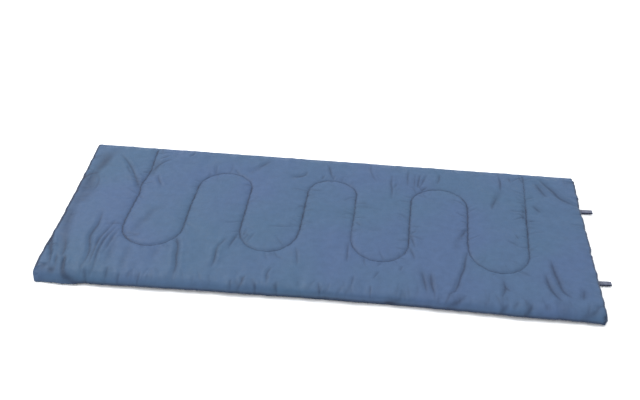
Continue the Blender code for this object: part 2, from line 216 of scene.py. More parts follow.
# Painted shade of the seam's groove, up to 1: a dark line along the seam and the soft shade beside
# it, each with its strength and reach; how much that varies; and how much fainter it is on the arcs,
# which lie between these distances from the near side and past this one from the first run
SEAM_LINE = (0.72, 0.0027)
SEAM_SHADE = (0.26, 0.0060)
SHADE_MEAN = 0.80
SHADE_SWING = 0.20
SHADE_WAVES = (61, 97)
LOW_ARCS = (0.19, 0.30)
HIGH_ARCS = (0.50, 0.59)
ARCS_BEGIN = (0.01, 0.06)
ARC_FAINTNESS = 0.45
# Painted shade on the rolled hem, which turns under: its strength, how much of it the splay takes
# away, and the share of the rolled rows where it ends, with how much further in that is at the foot,
# and how far the outline has turned to the foot where that is whole
HEM_SHADE = 0.7
SPLAY_FAINTNESS = 0.75
HEM_END = (0.42, 0.52)
FOOT_HEM = 0.17
FOOT_TURN = 0.6
# The most painted shade in creases, and the most of all painted shade together
MOST_CREASED = 0.6
DARKEST = 0.9

# Growth of the simulated cloth, its frames, the share of its buckling that is kept, and the most
# that it moves the cloth in and out
GROWTH = 0.020
FRAMES = 30
KEPT = 0.50
MOST_IN = 0.0026
MOST_OUT = 0.0042
# The share of it that is left at the edge, and how far from the seam it is calmed
EDGE_STEADY = 0.35
CALM_REACH = 0.006
# The waves that it starts from: how many, their shortest and longest, their height, and how far
# from a seam or an edge they are whole
START_WAVES = (160, 0.03, 0.12)
START_HEIGHT = 0.0006
START_FREE = 0.02
# How the growth is spread: least and most as multiples of it, and where the cloth is looser, as
# (strength, reach), beside the edge and the seam
LEAST_GROWTH = 0.25
MOST_GROWTH = 1.6
LOOSE_EDGE = (1.0, 0.05)
LOOSE_SEAM = (0.5, 0.03)
CLOTH_SETTINGS = {
    "quality": 4,
    "mass": 0.1,
    "tension_stiffness": 15,
    "compression_stiffness": 15,
    "shear_stiffness": 6,
    "bending_stiffness": 5,
    "air_damping": 2,
}
# How much of the buckling the lower shell and the linings take, and the linings' caps on it
LOWER_BUCKLE = 0.4
LINING_BUCKLE = 0.45
LINING_CAPS = (0.0012, 0.0020)
INNER_REACH = 0.008

# Broad soft hollows in the upper shell: depth, half width and path, all in millimetres. A path's
# places are counted from the head and from the near side, as they lie with the head stretched out.
HOLLOWS = [
    (4.0, 22, [(40, 700), (52, 640), (44, 570)]),
    (3.2, 20, [(36, 540), (48, 450), (36, 350)]),
    (4.0, 17, [(90, 728), (58, 628), (34, 529), (22, 448), (17, 364)]),
    (4.4, 16, [(21, 400), (21, 289), (36, 190), (55, 108), (67, 45)]),
    (2.6, 13, [(205, 525), (240, 450)]),
    (3.2, 16, [(262, 660), (256, 590), (262, 540)]),
    (2.6, 14, [(360, 368), (320, 350), (298, 294), (277, 244), (272, 200)]),
    (2.2, 12, [(216, 190), (220, 110), (222, 20)]),
    (2.0, 12, [(277, 160), (277, 80), (275, 0)]),
    (1.6, 12, [(377, 160), (370, 80)]),
    (2.0, 16, [(705, 710), (657, 651), (620, 620)]),
    (1.8, 12, [(854, 651), (843, 626), (780, 603)]),
    (1.4, 10, [(1055, 459), (1128, 452), (1156, 436)]),
    (1.4, 14, [(1090, 332), (1155, 325)]),
    (2.0, 14, [(1290, 150), (1300, 100), (1312, 10)]),
    (2.4, 12, [(1325, 140), (1328, 73), (1336, 10)]),
    (2.2, 13, [(1462, 376), (1436, 323), (1412, 250)]),
    (2.0, 14, [(1418, 100), (1405, 40)]),
    (2.4, 13, [(1606, 620), (1586, 573), (1562, 500)]),
    (2.4, 14, [(1740, 700), (1757, 644), (1780, 595)]),
    (2.2, 12, [(1716, 540), (1746, 498)]),
    (2.6, 14, [(1760, 716), (1807, 637), (1829, 598), (1890, 556)]),
    (2.4, 13, [(1716, 170), (1726, 108), (1760, 38)]),
    (2.6, 13, [(1745, 240), (1757, 144), (1770, 87), (1796, 56)]),
    (2.2, 14, [(1842, 110), (1830, 45)]),
    (2.4, 16, [(1735, -4), (1790, 6)]),
    (2.2, 14, [(1570, 140), (1574, 80), (1562, 30)]),
]
# Creased folds, in the same way
FOLDS = [
    (4.0, 7, [(-2, 495), (22, 541), (52, 552)]),
    (2.0, 7, [(48, 545), (65, 505), (63, 440)]),
    (4.6, 5, [(-10, 205), (-2, 175), (15, 102), (32, 28), (36, 10)]),
    (3.0, 6, [(44, 78), (49, 44), (55, 10)]),
    (4.0, 6, [(76, 70), (84, 23), (99, -10)]),
    (3.0, 6, [(46, 160), (60, 110), (63, 60)]),
    (4.5, 9, [(134, 320), (138, 251), (129, 180), (146, 116), (149, 66), (141, 4)]),
    (3.2, 6, [(196, 280), (184, 237), (166, 173), (163, 101), (166, 20)]),
    (3.2, 6, [(204, 240), (184, 173), (177, 116), (181, 59), (186, 0)]),
    (2.2, 6, [(218, 230), (205, 165), (198, 100)]),
    (2.4, 5, [(150, 18), (172, -24)]),
    (2.0, 5, [(230, 36), (236, -24)]),
    (2.4, 5, [(277, 14), (275, -26)]),
    (2.8, 5, [(346, 22), (341, -24)]),
    (4.8, 9, [(424, 222), (430, 204), (445, 159), (450, 109), (459, 66), (457, -18)]),
    (3.6, 8, [(100, 675), (124, 655), (159, 609), (184, 566), (209, 516), (229, 474)]),
    (2.0, 6, [(147, 603), (178, 549)]),
    (3.2, 7, [(314, 670), (277, 637), (254, 590)]),
    (2.4, 6, [(300, 690), (262, 668)]),
    (2.8, 7, [(282, 562), (291, 530), (314, 488)]),
    (2.4, 6, [(390, 738), (391, 712), (376, 692)]),
    (2.2, 6, [(604, 220), (584, 173)]),
    (3.4, 7, [(584, 192), (581, 151), (583, 109), (577, 66)]),
    (3.0, 6, [(644, 262), (631, 216), (619, 170)]),
    (2.4, 5, [(652, 22), (657, -22)]),
    (2.6, 7, [(702, 42), (689, 8), (678, -22)]),
    (2.4, 5, [(735, 14), (741, -25)]),
    (2.4, 5, [(802, 22), (814, -26)]),
    (2.6, 6, [(945, 36), (954, -6), (957, -26)]),
    (2.6, 6, [(783, 94), (771, 59), (773, 12)]),
    (2.2, 7, [(853, 205), (861, 166), (868, 105)]),
    (2.6, 6, [(1036, 256), (1036, 209), (1037, 142)]),
    (2.0, 5, [(1151, 115), (1128, 71)]),
    (2.4, 6, [(1064, 84), (1057, 18)]),
    (2.4, 5, [(1121, 42), (1123, -16)]),
    (2.3, 6, [(1232, -5), (1200, -19), (1168, -25)]),
    (3.2, 6, [(934, 706), (943, 666), (954, 617)]),
    (2.0, 5, [(962, 640), (957, 608)]),
    (2.0, 5, [(922, 636), (913, 608)]),
    (2.0, 8, [(700, 702), (657, 653)]),
    (2.2, 7, [(855, 654), (843, 626), (800, 610)]),
    (2.0, 7, [(1100, 736), (1104, 673), (1129, 606)]),
    (2.8, 6, [(1186, 670), (1182, 609), (1186, 573), (1183, 512)]),
    (2.0, 5, [(1206, 620), (1195, 578)]),
    (2.6, 6, [(1250, 712), (1246, 651), (1246, 596)]),
    (2.2, 5, [(1276, 690), (1271, 590)]),
    (3.0, 6, [(1296, 690), (1282, 596)]),
    (1.6, 6, [(740, 305), (786, 307), (842, 312)]),
    (2.0, 5, [(1055, 368), (1077, 346)]),
    (2.8, 6, [(1253, 330), (1264, 287), (1272, 248)]),
    (2.6, 6, [(1252, 256), (1264, 216), (1271, 184)]),
    (1.8, 5, [(1229, 150), (1220, 120)]),
    (2.6, 7, [(1292, 130), (1300, 101), (1311, 18)]),
    (3.8, 7, [(1325, 126), (1327, 73), (1336, 23), (1334, -10)]),
    (2.2, 7, [(1408, 52), (1379, 9), (1366, -16)]),
    (2.4, 6, [(1446, 30), (1414, 1), (1376, -21)]),
    (4.4, 8, [(1461, 262), (1450, 216), (1441, 159), (1429, 123), (1418, 80), (1398, 26)]),
    (2.6, 6, [(1466, 378), (1450, 351), (1436, 323)]),
    (2.4, 6, [(1572, 120), (1575, 80), (1563, 40)]),
    (2.2, 5, [(1574, 92), (1590, 64)]),
    (2.3, 6, [(1582, 2), (1548, -22)]),
    (2.6, 7, [(1662, 20), (1650, -6), (1626, -24)]),
    (4.0, 7, [(1717, 164), (1725, 109), (1736, 73), (1760, 36)]),
    (4.2, 8, [(1746, 242), (1750, 187), (1757, 144), (1768, 87), (1796, 55)]),
    (2.2, 8, [(1840, 100), (1831, 52)]),
    (2.2, 5, [(1888, 52), (1872, 18), (1850, -5), (1810, -22)]),
    (3.6, 6, [(1603, 722), (1606, 673), (1603, 612)]),
    (2.2, 6, [(1587, 578), (1564, 516), (1560, 486)]),
    (2.2, 5, [(1643, 714), (1647, 676)]),
    (3.4, 8, [(1762, 716), (1779, 680), (1807, 637), (1829, 598), (1888, 556)]),
    (2.6, 8, [(1743, 690), (1757, 644), (1776, 598)]),
    (2.2, 7, [(1717, 540), (1744, 499)]),
    (2.6, 6, [(1372, 700), (1368, 659), (1360, 632)]),
    (2.4, 6, [(1322, 694), (1304, 637), (1292, 598)]),
    (3.0, 6, [(1296, 580), (1320, 608)]),
    (2.2, 5, [(1634, 362), (1644, 335)]),
    (2.0, 6, [(1598, 325), (1641, 299)]),
    (1.8, 7, [(1684, 540), (1671, 440)]),
]
# Deeply pinched creases where the splayed head corner is caught
PINCHES = [
    (2.0, 4, [(30, 10), (46, 6), (60, 7)]),
    (2.4, 5, [(72, 78), (77, 32), (89, -2), (111, -14), (132, -24), (150, -28)]),
]
# How much more painted shade a pinch gets than a fold of its depth
PINCH_SHADE = 2.0
# Short wrinkles across the long edges, the ends and the seam: how many, how long, how deep, how
# wide, how far they are turned and bent, and the part of a wrinkle's half that lies behind its start
LONG_EDGE_WRINKLES = 120
END_WRINKLES = 60
SEAM_WRINKLES = 170
WRINKLE_LENGTH = (0.02, 0.07)
WRINKLE_DEPTH = (0.0003, 0.0016)
WRINKLE_WIDTH = (0.0035, 0.0060)
WRINKLE_TURN = 0.45
WRINKLE_BEND = 0.25
WRINKLE_BACK = 0.3
# The share of long-edge wrinkles on the near side and of end wrinkles at the head, where each of
# them starts outside the outline, and how strong those of the seam are
NEAR_SHARE = 0.55
HEAD_SHARE = 0.5
NEAR_START = 0.004
OUTSIDE_START = 0.002
SEAM_WRINKLING = 1.3
# Steps of a fold's line between two listed places, rounds to undo the head's stretch, and the power
# of the sine that tapers a fold
PATH_STEPS = 6
UNSTRETCH_ROUNDS = 4
TAPER_POWER = 0.7
# How far a hollow and a fold reach, in half widths
HOLLOW_REACH = 3
FOLD_REACH = 5
# A fold's notch, in half widths, and the puffs beside it: how high, how far off and how wide
FOLD_NOTCH = 0.70
FOLD_PUFF = (0.45, 1.9, 0.9)
# Creases and hollows get painted shade: a crease's width, the depth that darkens it fully, the share
# of that shade that spreads over the fold, and a hollow's share
CREASE_WIDTH = 0.0030
CREASE_DEPTH = 0.0068
CREASE_SPREAD = 0.30
HOLLOW_SHADE = 0.34
# Metres of depth for a listed millimetre: folds, hollows and pinches
FOLD_STRENGTH = 0.0012
HOLLOW_STRENGTH = 0.0016
PINCH_STRENGTH = 0.0010
# The share of the rolled rows where folds are whole; the most that they go in and out; and the
# share of the first in the rolled rows, with the rows between which it grows to the whole
FOLD_ROWS = 0.5
DEEPEST = 0.0045
HIGHEST = 0.0042
RIM_SHARE = 0.50
RIM_SPAN = (0.7, 1.2)
# The near edge rolls over: places this far from the near side are that far in on its cloth
NEAR_PLACES = (-0.028, ROLL_INSET)
NEAR_ON_CLOTH = (0.0125, ROLL_INSET)

# Unevenness of the outline: its height, how quickly it fades inwards, its waves as (length,
# phase), and the share of it that lifts the edge
OUTLINE_SWING = 0.0044
OUTLINE_FADE = 0.03
OUTLINE_WAVES = ((0.31, 0.0), (0.137, 2.1), (0.071, 4.0), (0.043, 1.3))
OUTLINE_LIFT = 0.5

# The strip of cloth round the fold. Half its section in millimetres, as (inset, height), from the
# shell to the middle; the middle's inset; and its points across
FOLD_SECTION = [(3.0, 12.2), (1.6, 10.4), (0.3, 8.4), (-1.2, 5.8), (-2.6, 2.8)]
FOLD_MIDDLE = -3.0
FOLD_POINTS = 16
# Where it starts, as a share of the corner's radius, and its steps near the ends and between
FOLD_START = 0.25
FOLD_FINE = 0.002
FOLD_STEP = 0.006
# Its swelling: height, number of waves, shortest and longest, rows of them, and where it stops
FOLD_SWELL = 0.0009
FOLD_WAVES = (30, 0.02, 0.09)
FOLD_LEVELS = (-0.010, 0.0, 0.010)
FOLD_SWOLLEN = (0.004, 0.010)

# Stitches: their rings as (along, width, rise), in lengths and radii, and their sides
STITCH_PITCH = 0.0042
STITCH_LENGTH = 0.0031
STITCH_RADIUS = 0.00033
STITCH_RINGS = np.array([(-0.5, 0.25, -1.0), (-0.32, 1.0, 0.1), (0.32, 1.0, 0.1), (0.5, 0.25, -1.0)])
STITCH_SIDES = 5
HEM_INSET = 0.0125
HEM_MARGIN = 0.03

# Zip: the coil's line inside the outline, steps along it and points round the foot's corner; the
# coil's pitch, pieces to a turn, wire, height over the middle and radii; and the tape, with its
# section in millimetres, as (outwards, height)
ZIP_INSET = 0.0046
ZIP_STEP = 0.008
CORNER_POINTS = 12
COIL_PITCH = 0.0020
COIL_TURN = 7
COIL_WIRE = 0.00030
COIL_CENTRE = 0.0019
COIL_RADII = (0.0013, 0.0014)
TAPE_SECTION = [(-8.5, 9.2), (-5.6, 9.0), (-4.6, 8.2), (-4.6, 3.6)]
TAPE_THICKNESS = 0.0005
TAPE_POINTS = 8
TAPE_WANDER = 0.00015
TAPE_WAVE = 1.7

# Head binding: the heights of its two faces and its section's outer half as (outwards, height),
# both in millimetres; its rounded tip; its step; and its wander as (height, wave, phase)
BINDING_FACES = (5.4, 9.2)
BINDING_NOSE = [(-8.8, 9.2), (-5.0, 9.4), (-2.6, 9.1), (-1.4, 8.3)]
BINDING_TIP = -1.2
BINDING_STEP = 0.006
BINDING_WANDER = ((0.0003, 71, 0), (0.0002, 163, 1))

# Hanging loops: their root inside the foot, the bend at the tip and their thickness
LOOP_ROOT = 0.010
LOOP_BEND = 0.0035
LOOP_THICKNESS = 0.0013
LOOP_POINTS = 60
# Half the gap between their layers at the root and at the hinge, and how far past the hinge and
# short of the tip it is the bend's own; the angles round the bend; their tilt and their wave
LOOP_GAPS = (0.0012, 0.0018)
LOOP_OPENS = 0.012
LOOP_CLOSES = 0.004
LOOP_TURN = np.linspace(1.2, -1.2, 7)
LOOP_TILT = 0.0035
LOOP_WAVE = (0.0006, 90)
# A quarter of their section, in widths and half thicknesses, and the share of the half width where
# the strap's rounded edge gets painted shade
LOOP_SECTION = [(0.5, 0.3), (0.485, 0.8), (0.44, 1.0), (0.36, 0.86), (0.18, 0.86)]
LOOP_EDGE = (0.80, 0.92)

# The pale tail at the zip's end: where it starts and ends past the foot and where it narrows from,
# its points, its place, its droop, its wave, its taper and a quarter of its section
TAIL_SPAN = (-0.006, 0.011)
TAIL_NARROWS = 0.005
TAIL_POINTS = 12
TAIL_ASIDE = 0.004
TAIL_BELOW = 0.002
TAIL_DROOP = 0.004
TAIL_WAVE = (0.0010, 150)
TAIL_TAPER = 0.45
TAIL_SECTION = np.array([(0.0030, 0.0003), (0.0024, 0.0006), (0.0, 0.0007)])

# The length in metres that a wave texture of scale 1 repeats after
BAND_SCALE = 0.314
# The least length that a vector is divided by
TINY = 1e-12
# Bevels of the CAD nodes that stay
FINE_BEVEL = 0.0002
PULL_BEVEL = 0.0003
PLASTIC_BEVEL = 0.0004

RANDOM = np.random.default_rng(190)


def srgb(red, green, blue):
    """A display colour, 0 to 255 a channel, as the linear colour that a shader takes."""

    def linear(value):
        value /= 255
        return value / 12.92 if value < 0.04045 else ((value + 0.055) / 1.055) ** 2.4

    return (linear(red), linear(green), linear(blue), 1.0)


def smooth(low, high, value):
    """From 0 at low to 1 at high, on a smooth curve."""
    share = np.clip((value - low) / (high - low), 0, 1)
    return share * share * (3 - 2 * share)


def faded(distance, reach):
    """1 on the spot, falling quickly beyond a reach."""
    return np.exp(-((distance / reach) ** 2))


def unit(vectors):
    """Vectors scaled to a length of one."""
    return vectors / np.maximum(np.linalg.norm(vectors, axis=-1, keepdims=True), TINY)


# Meshes


def add_mesh(name, points, faces, material):
    """A smooth-shaded object of a mesh."""
    mesh = bpy.data.meshes.new(name)
    mesh.from_pydata(np.reshape(points, (-1, 3)).tolist(), [], faces)
    mesh.materials.append(material)
    mesh.shade_smooth()
    made = bpy.data.objects.new(name, mesh)
    bpy.context.scene.collection.objects.link(made)
    return made


def grid_faces(rows, columns, flip=False, start=0):
    """Quads of a grid whose points run row by row."""
    index = start + np.arange(rows * columns).reshape(rows, columns)
    a, b = index[:-1, :-1], index[1:, :-1]
    c, d = index[1:, 1:], index[:-1, 1:]
    order = (a, d, c, b) if flip else (a, b, c, d)
    return np.stack(order, -1).reshape(-1, 4).tolist()


def float_attribute(made, name, values):
    """Gives each point of a mesh a number that its material reads."""
    attribute = made.data.attributes.new(name, "FLOAT", "POINT")
    attribute.data.foreach_set("value", np.ravel(values).astype(np.float32))


def metres(points):
    """Points listed in millimetres."""
    return [tuple(value / 1000 for value in point) for point in points]


def facing(section, sign):
    """A section as it is, or mirrored in the middle plane where the sign is -1."""
    return [(inset, sign * height) for inset, height in section]


def arc_length(line):
    """How far along a line each of its points is."""
    return np.concatenate([[0], np.cumsum(np.linalg.norm(np.diff(line, axis=0), axis=1))])


def through(points, count):
    """count + 1 evenly spaced points on a smooth curve through the given ones."""
    points = np.array(points, float)
    ends = np.vstack([2 * points[0] - points[1], points, 2 * points[-1] - points[-2]])
    t = np.linspace(0, 1, CURVE_STEPS, endpoint=False)[:, None]
    pieces = []
    for p0, p1, p2, p3 in zip(ends, ends[1:], ends[2:], ends[3:]):
        bend = (2 * p0 - 5 * p1 + 4 * p2 - p3) * t**2 + (3 * p1 - p0 - 3 * p2 + p3) * t**3
        pieces.append(0.5 * (2 * p1 + (p2 - p0) * t + bend))
    fine = np.vstack([*pieces, points[-1:]])
    run = arc_length(fine)
    at = np.linspace(0, run[-1], count + 1)
    return np.stack([np.interp(at, run, fine[:, k]) for k in range(fine.shape[1])], 1)


# The quilting seam


def seam_sway(along, across):
    """How far the seam strays at places measured from the head and from the near side."""
    runs = np.clip((along - FIRST_RUN) / SEAM_PITCH, 0, SEAM_RUNS - 1)
    before = np.minimum(runs.astype(int), SEAM_RUNS - 2)
    sways = np.array([np.interp(across, SWAY_LEVELS, row) for row in RUN_SWAY])
    low, high = (np.take_along_axis(sways, (before + k)[None], 0)[0] for k in (0, 1))
    arcs = FIRST_RUN + SEAM_PITCH * (np.arange(1, SEAM_RUNS) - 0.5)
    broad, fine = RUN_WAVES
    shake_x = np.sin(broad * across + RUN_PHASE * before) + FINE_SHAKE * np.sin(fine * across)
    broad, fine = ARC_WAVES
    shake_y = np.sin(broad * along) + FINE_SHAKE * np.sin(fine * along)
    sway_x = low + (runs - before) * (high - low) + SEAM_SHAKE * shake_x
    sway_y = np.interp(along, arcs, ARC_SWAY) + SEAM_SHAKE * shake_y
    return 0.001 * sway_x, 0.001 * sway_y


def run_place(run):
    """Where a run of the seam lies, from the head."""
    return FIRST_RUN + run * SEAM_PITCH


def run_top(run):
    """Where a run ends on the far side: the first and last ones reach the edge."""
    return SEAM_END if run in (0, SEAM_RUNS - 1) else HIGH_CENTRE


def nearest_on_seam(x, y):
    """Distance to the serpentine seam, and the nearest point on it, for arrays of x and y."""
    sway_x, sway_y = seam_sway(x + HALF_LENGTH, y + HALF_WIDTH)
    along = x + HALF_LENGTH - sway_x
    across = y + HALF_WIDTH - sway_y
    best = np.full(along.shape, LENGTH)
    seam_x, seam_y = along.copy(), across.copy()

    def offer(near_x, near_y):
        nonlocal best, seam_x, seam_y
        distance = np.hypot(along - near_x, across - near_y)
        closer = distance < best
        best = np.where(closer, distance, best)
        seam_x = np.where(closer, near_x, seam_x)
        seam_y = np.where(closer, near_y, seam_y)

    for run in range(SEAM_RUNS):
        offer(np.full_like(along, run_place(run)), np.clip(across, LOW_CENTRE, run_top(run)))
    for arc in range(1, SEAM_RUNS):
        centre = FIRST_RUN + (arc - 0.5) * SEAM_PITCH
        side = -1 if arc % 2 else 1
        level = LOW_CENTRE if arc % 2 else HIGH_CENTRE
        angle = np.arctan2(side * (across - level), along - centre)
        angle = np.where(angle < 0, np.where(along > centre, 0, math.pi), angle)
        offer(centre + SEAM_RADIUS * np.cos(angle), level + side * SEAM_RADIUS * np.sin(angle))
    sway_x, sway_y = seam_sway(seam_x, seam_y)
    seam_x += sway_x - HALF_LENGTH
    seam_y += sway_y - HALF_WIDTH
    return np.hypot(x - seam_x, y - seam_y), seam_x, seam_y


def seam_path(step):
    """Points along the whole seam, in plan."""
    points = []
    for run in range(SEAM_RUNS):
        x, top = run_place(run), run_top(run)
        start, end = (top, LOW_CENTRE) if run % 2 == 0 else (LOW_CENTRE, top)
        count = max(int(abs(end - start) / step), 2)
        points.extend((x, level) for level in np.linspace(start, end, count, endpoint=False))
        if run < SEAM_RUNS - 1:
            side = -1 if run % 2 == 0 else 1
            level = LOW_CENTRE if run % 2 == 0 else HIGH_CENTRE
            count = int(math.pi * SEAM_RADIUS / step)
            for angle in np.linspace(math.pi, 0, count, endpoint=False):
                centre = x + SEAM_RADIUS
                height = level + side * SEAM_RADIUS * math.sin(angle)
                points.append((centre + SEAM_RADIUS * math.cos(angle), height))
    points.append((run_place(SEAM_RUNS - 1), SEAM_END))
    points = np.array(points)
    return points + np.stack(seam_sway(*points.T), 1) - (HALF_LENGTH, HALF_WIDTH)


# The plan of a cloth: a grid that fills the rounded outline


def axis_plan(half, fineness):
    """Plan positions along one axis, rows from the nearer edge, and which side that edge is on."""
    rows = ROLL_ROWS * fineness
    inner = fineness * round(2 * (half - ROLL_INSET) / CELL)
    flat = np.linspace(ROLL_INSET - half, half - ROLL_INSET, inner + 1)
    edge = half - ROLL_INSET * np.arange(rows) / rows
    place = np.concatenate([-edge, flat, edge[::-1]])
    count = len(place)
    row = np.minimum(np.arange(count), np.arange(count)[::-1])
    return place, row, np.sign(place)


def corner_radius(side_x, side_y):
    """The outline's radius at one of its four corners."""
    if side_x < 0:
        return HEAD_RADIUS
    return NEAR_FOOT_RADIUS if side_y < 0 else FAR_FOOT_RADIUS


def round_corner(plan, corner, rows, side_x, side_y):
    """Bends the square corner of a plan's grid into the outline's rounded corner."""
    outer = corner_radius(side_x, side_y)
    for i, j in zip(*np.nonzero(corner)):
        depth_x, depth_y = rows - plan["row_x"][i], rows - plan["row_y"][j]
        level = min(plan["row_x"][i], plan["row_y"][j])
        inset = ROLL_INSET * level / rows
        reach = ROLL_INSET - inset
        radius = min(max(outer - inset, LEAST_RADIUS * reach), reach)
        steep = depth_y / depth_x if depth_x >= depth_y else depth_x / depth_y
        run = 0.5 * steep if depth_x >= depth_y else 1 - 0.5 * steep
        straight = reach - radius
        way = run * (2 * straight + math.pi / 2 * radius)
        turned = min(max((way - straight) / radius, 0), math.pi / 2)
        x = straight + radius * math.cos(turned)
        y = straight + radius * math.sin(turned)
        if way < straight:
            y = way
        elif turned == math.pi / 2:
            x = straight - (way - straight - math.pi / 2 * radius)
        plan["x"][i, j] = side_x * (HALF_LENGTH - ROLL_INSET + x)
        plan["y"][i, j] = side_y * (HALF_WIDTH - ROLL_INSET + y)
        plan["normal_x"][i, j] = side_x * math.cos(turned)
        plan["normal_y"][i, j] = side_y * math.sin(turned)


def plan_grid(fineness):
    """A cloth's grid in plan, with its outward direction and its rows from the edge."""
    rows = ROLL_ROWS * fineness
    place_x, row_x, side_x = axis_plan(HALF_LENGTH, fineness)
    place_y, row_y, side_y = axis_plan(HALF_WIDTH, fineness)
    x, y = np.meshgrid(place_x, place_y, indexing="ij")
    rolls_x = (row_x < rows)[:, None] & np.ones_like(y, bool)
    rolls_y = (row_y < rows)[None, :] & np.ones_like(x, bool)
    normal_x = np.where(rolls_x, side_x[:, None], 0.0)
    normal_y = np.where(rolls_y, side_y[None, :], 0.0)
    plan = {"x": x, "y": y, "normal_x": normal_x, "normal_y": normal_y}
    plan.update(row_x=row_x, row_y=row_y, rows=rows, cell=CELL / fineness)
    plan.update(place_x=place_x, place_y=place_y)
    for sign_x in (-1, 1):
        for sign_y in (-1, 1):
            on_side = (side_x == sign_x)[:, None] & (side_y == sign_y)[None, :]
            round_corner(plan, rolls_x & rolls_y & on_side, rows, sign_x, sign_y)
    plan["level"] = np.minimum(row_x[:, None], row_y[None, :])
    plan["inset"] = np.minimum(HALF_LENGTH - abs(x), HALF_WIDTH - abs(y))
    distance, seam_x, seam_y = nearest_on_seam(plan["x"], plan["y"])
    snapped = (distance < SNAP_SHARE * plan["cell"]) & (plan["level"] >= rows)
    plan["x"] = np.where(snapped, seam_x, plan["x"])
    plan["y"] = np.where(snapped, seam_y, plan["y"])
    plan["from_seam"] = np.where(snapped, 0, distance)
    plan["held"] = snapped | (plan["level"] == 0)
    return plan


def rolled_share(plan):
    """How far in each point is: 0 on the sewn edge, 1 where the roll ends and more inside."""
    return plan["level"] / plan["rows"]


def cloth_points(plan, edges, crown, seam):
    """The cloth on a plan: rolled round its edges, swelling inside and drawn in along the seam.

    The edges' sections are in millimetres. The crown and the seam are heights in metres.
    """
    rows = plan["rows"]
    level = np.minimum(plan["level"], rows)
    share = {
        "head": np.maximum(-plan["normal_x"], 0) ** 2,
        "foot": np.maximum(plan["normal_x"], 0) ** 2,
        "near": np.maximum(-plan["normal_y"], 0) ** 2,
        "far": np.maximum(plan["normal_y"], 0) ** 2,
    }
    inset = np.zeros_like(plan["x"])
    height = np.zeros_like(plan["x"])
    for side, weight in share.items():
        section = through(metres(edges[side]), rows)
        inset += weight * section[level, 0]
        height += weight * section[level, 1]
    rim = np.mean([edges[side][-1][1] / 1000 for side in edges])
    inside = plan["level"] >= rows
    rise = 1 - np.exp(-(plan["inset"] - ROLL_INSET) / CROWN_REACH)
    height = np.where(inside, rim + (crown - rim) * rise, height)
    shift = np.where(inside, 0, ROLL_INSET * level / rows - inset)
    height = drawn_in(plan, height, seam)
    x = plan["x"] + plan["normal_x"] * shift
    y = plan["y"] + plan["normal_y"] * shift
    return np.stack([x, y, MIDDLE + height], -1)


def drawn_in(plan, height, seam):
    """Heights drawn towards the seam's height: a broad hollow with a narrow groove in it."""
    distance = plan["from_seam"]
    drawn = PUFF_SHARE * np.exp(-distance / PUFF_REACH)
    drawn += NOTCH_SHARE * faded(distance, NOTCH_REACH)
    drawn *= np.minimum(rolled_share(plan), 1) ** 2
    return seam * drawn + height * (1 - drawn)


def upper_shell_points(plan):
    """The upper shell's cloth, splayed at its near head corner and reaching over the zip."""
    points = cloth_points(plan, UPPER_EDGES, *UPPER_CROWN)
    flap_edges = {**UPPER_EDGES, "near": FLAP_EDGE}
    flap = cloth_points(plan, flap_edges, *UPPER_CROWN)
    share = (1 - smooth(*FLAP_SPAN, plan["x"] + HALF_LENGTH))[..., None]
    points += share * (flap - points)
    reach_over_near_side(points)
    draw_out_foot_corner(plan, points)
    return splayed(points) + uneven(plan)


def head_reach(along, across):
    """How far the head edge is stretched outwards, at places from the head and the near side."""
    return np.interp(across, *zip(*HEAD_REACH)) * np.exp(-np.maximum(along, 0) / HEAD_FADE)


def splayed(points):
    """Points of the upper quilt, stretched at its head and drooping at the near corner there."""
    along = np.maximum(points[..., 0] + HALF_LENGTH, 0)
    across = np.maximum(points[..., 1] + HALF_WIDTH, 0)
    out = head_reach(along, across)
    droop = CORNER_DROOP * np.exp(-(along**2 + across**2) / CORNER_SPAN**2)
    return points - np.stack([out, np.zeros_like(out), droop], -1)


def draw_out_foot_corner(plan, points):
    """Draws the rolled edge out to a point at the near foot corner. Its sewn edge stays."""
    from_near = np.maximum(points[..., 1] + HALF_WIDTH, 0)
    from_foot = np.maximum(HALF_LENGTH - points[..., 0], 0)
    share = np.exp(-(from_near**2 + from_foot**2) / FOOT_CORNER_SPAN**2)
    share *= smooth(0, FOOT_CORNER_ROWS, rolled_share(plan))
    longer, wider, lower = FOOT_CORNER
    points += share[..., None] * np.array([longer, -wider, -lower])


def reach_over_near_side(points):
    """Scales how far the cloth stands out beyond the near side, along the bag."""
    reach = np.interp(points[..., 0] + HALF_LENGTH, *zip(*NEAR_REACH))
    points[..., 1] += (reach - 1) * np.minimum(points[..., 1] + HALF_WIDTH, 0)


def uneven(plan):
    """A small wander of the outline, which fades inwards. It is the same for every grid."""
    x, y = plan["x"], plan["y"]
    fade = np.clip(rolled_share(plan), 0, 1) * np.exp(-plan["inset"] / OUTLINE_FADE)
    along = sum(np.sin(2 * math.pi * x / length + phase) for length, phase in OUTLINE_WAVES) / 2
    across = sum(np.sin(2 * math.pi * y / length + phase + 1) for length, phase in OUTLINE_WAVES) / 2
    swing = OUTLINE_SWING * fade
    out_x = plan["normal_x"] * across * swing
    out_y = plan["normal_y"] * along * swing
    return np.stack([out_x, out_y, OUTLINE_LIFT * along * swing], -1)


def normals_of(points):
    """Unit normals of a grid of points, upwards where it is laid out flat."""
    return unit(np.cross(np.gradient(points, axis=0), np.gradient(points, axis=1)))


def sample(field, plan, x, y):
    """Values of a grid's field at places in plan."""
    i = np.interp(x, plan["place_x"], np.arange(len(plan["place_x"])))
    j = np.interp(y, plan["place_y"], np.arange(len(plan["place_y"])))
    low_i = np.minimum(i.astype(int), field.shape[0] - 2)
    low_j = np.minimum(j.astype(int), field.shape[1] - 2)
    across_i = (i - low_i)[..., None]
    across_j = (j - low_j)[..., None]
    low = field[low_i, low_j] * (1 - across_i) + field[low_i + 1, low_j] * across_i
    high = field[low_i, low_j + 1] * (1 - across_i) + field[low_i + 1, low_j + 1] * across_i
    return low * (1 - across_j) + high * across_j


# Cloth simulation


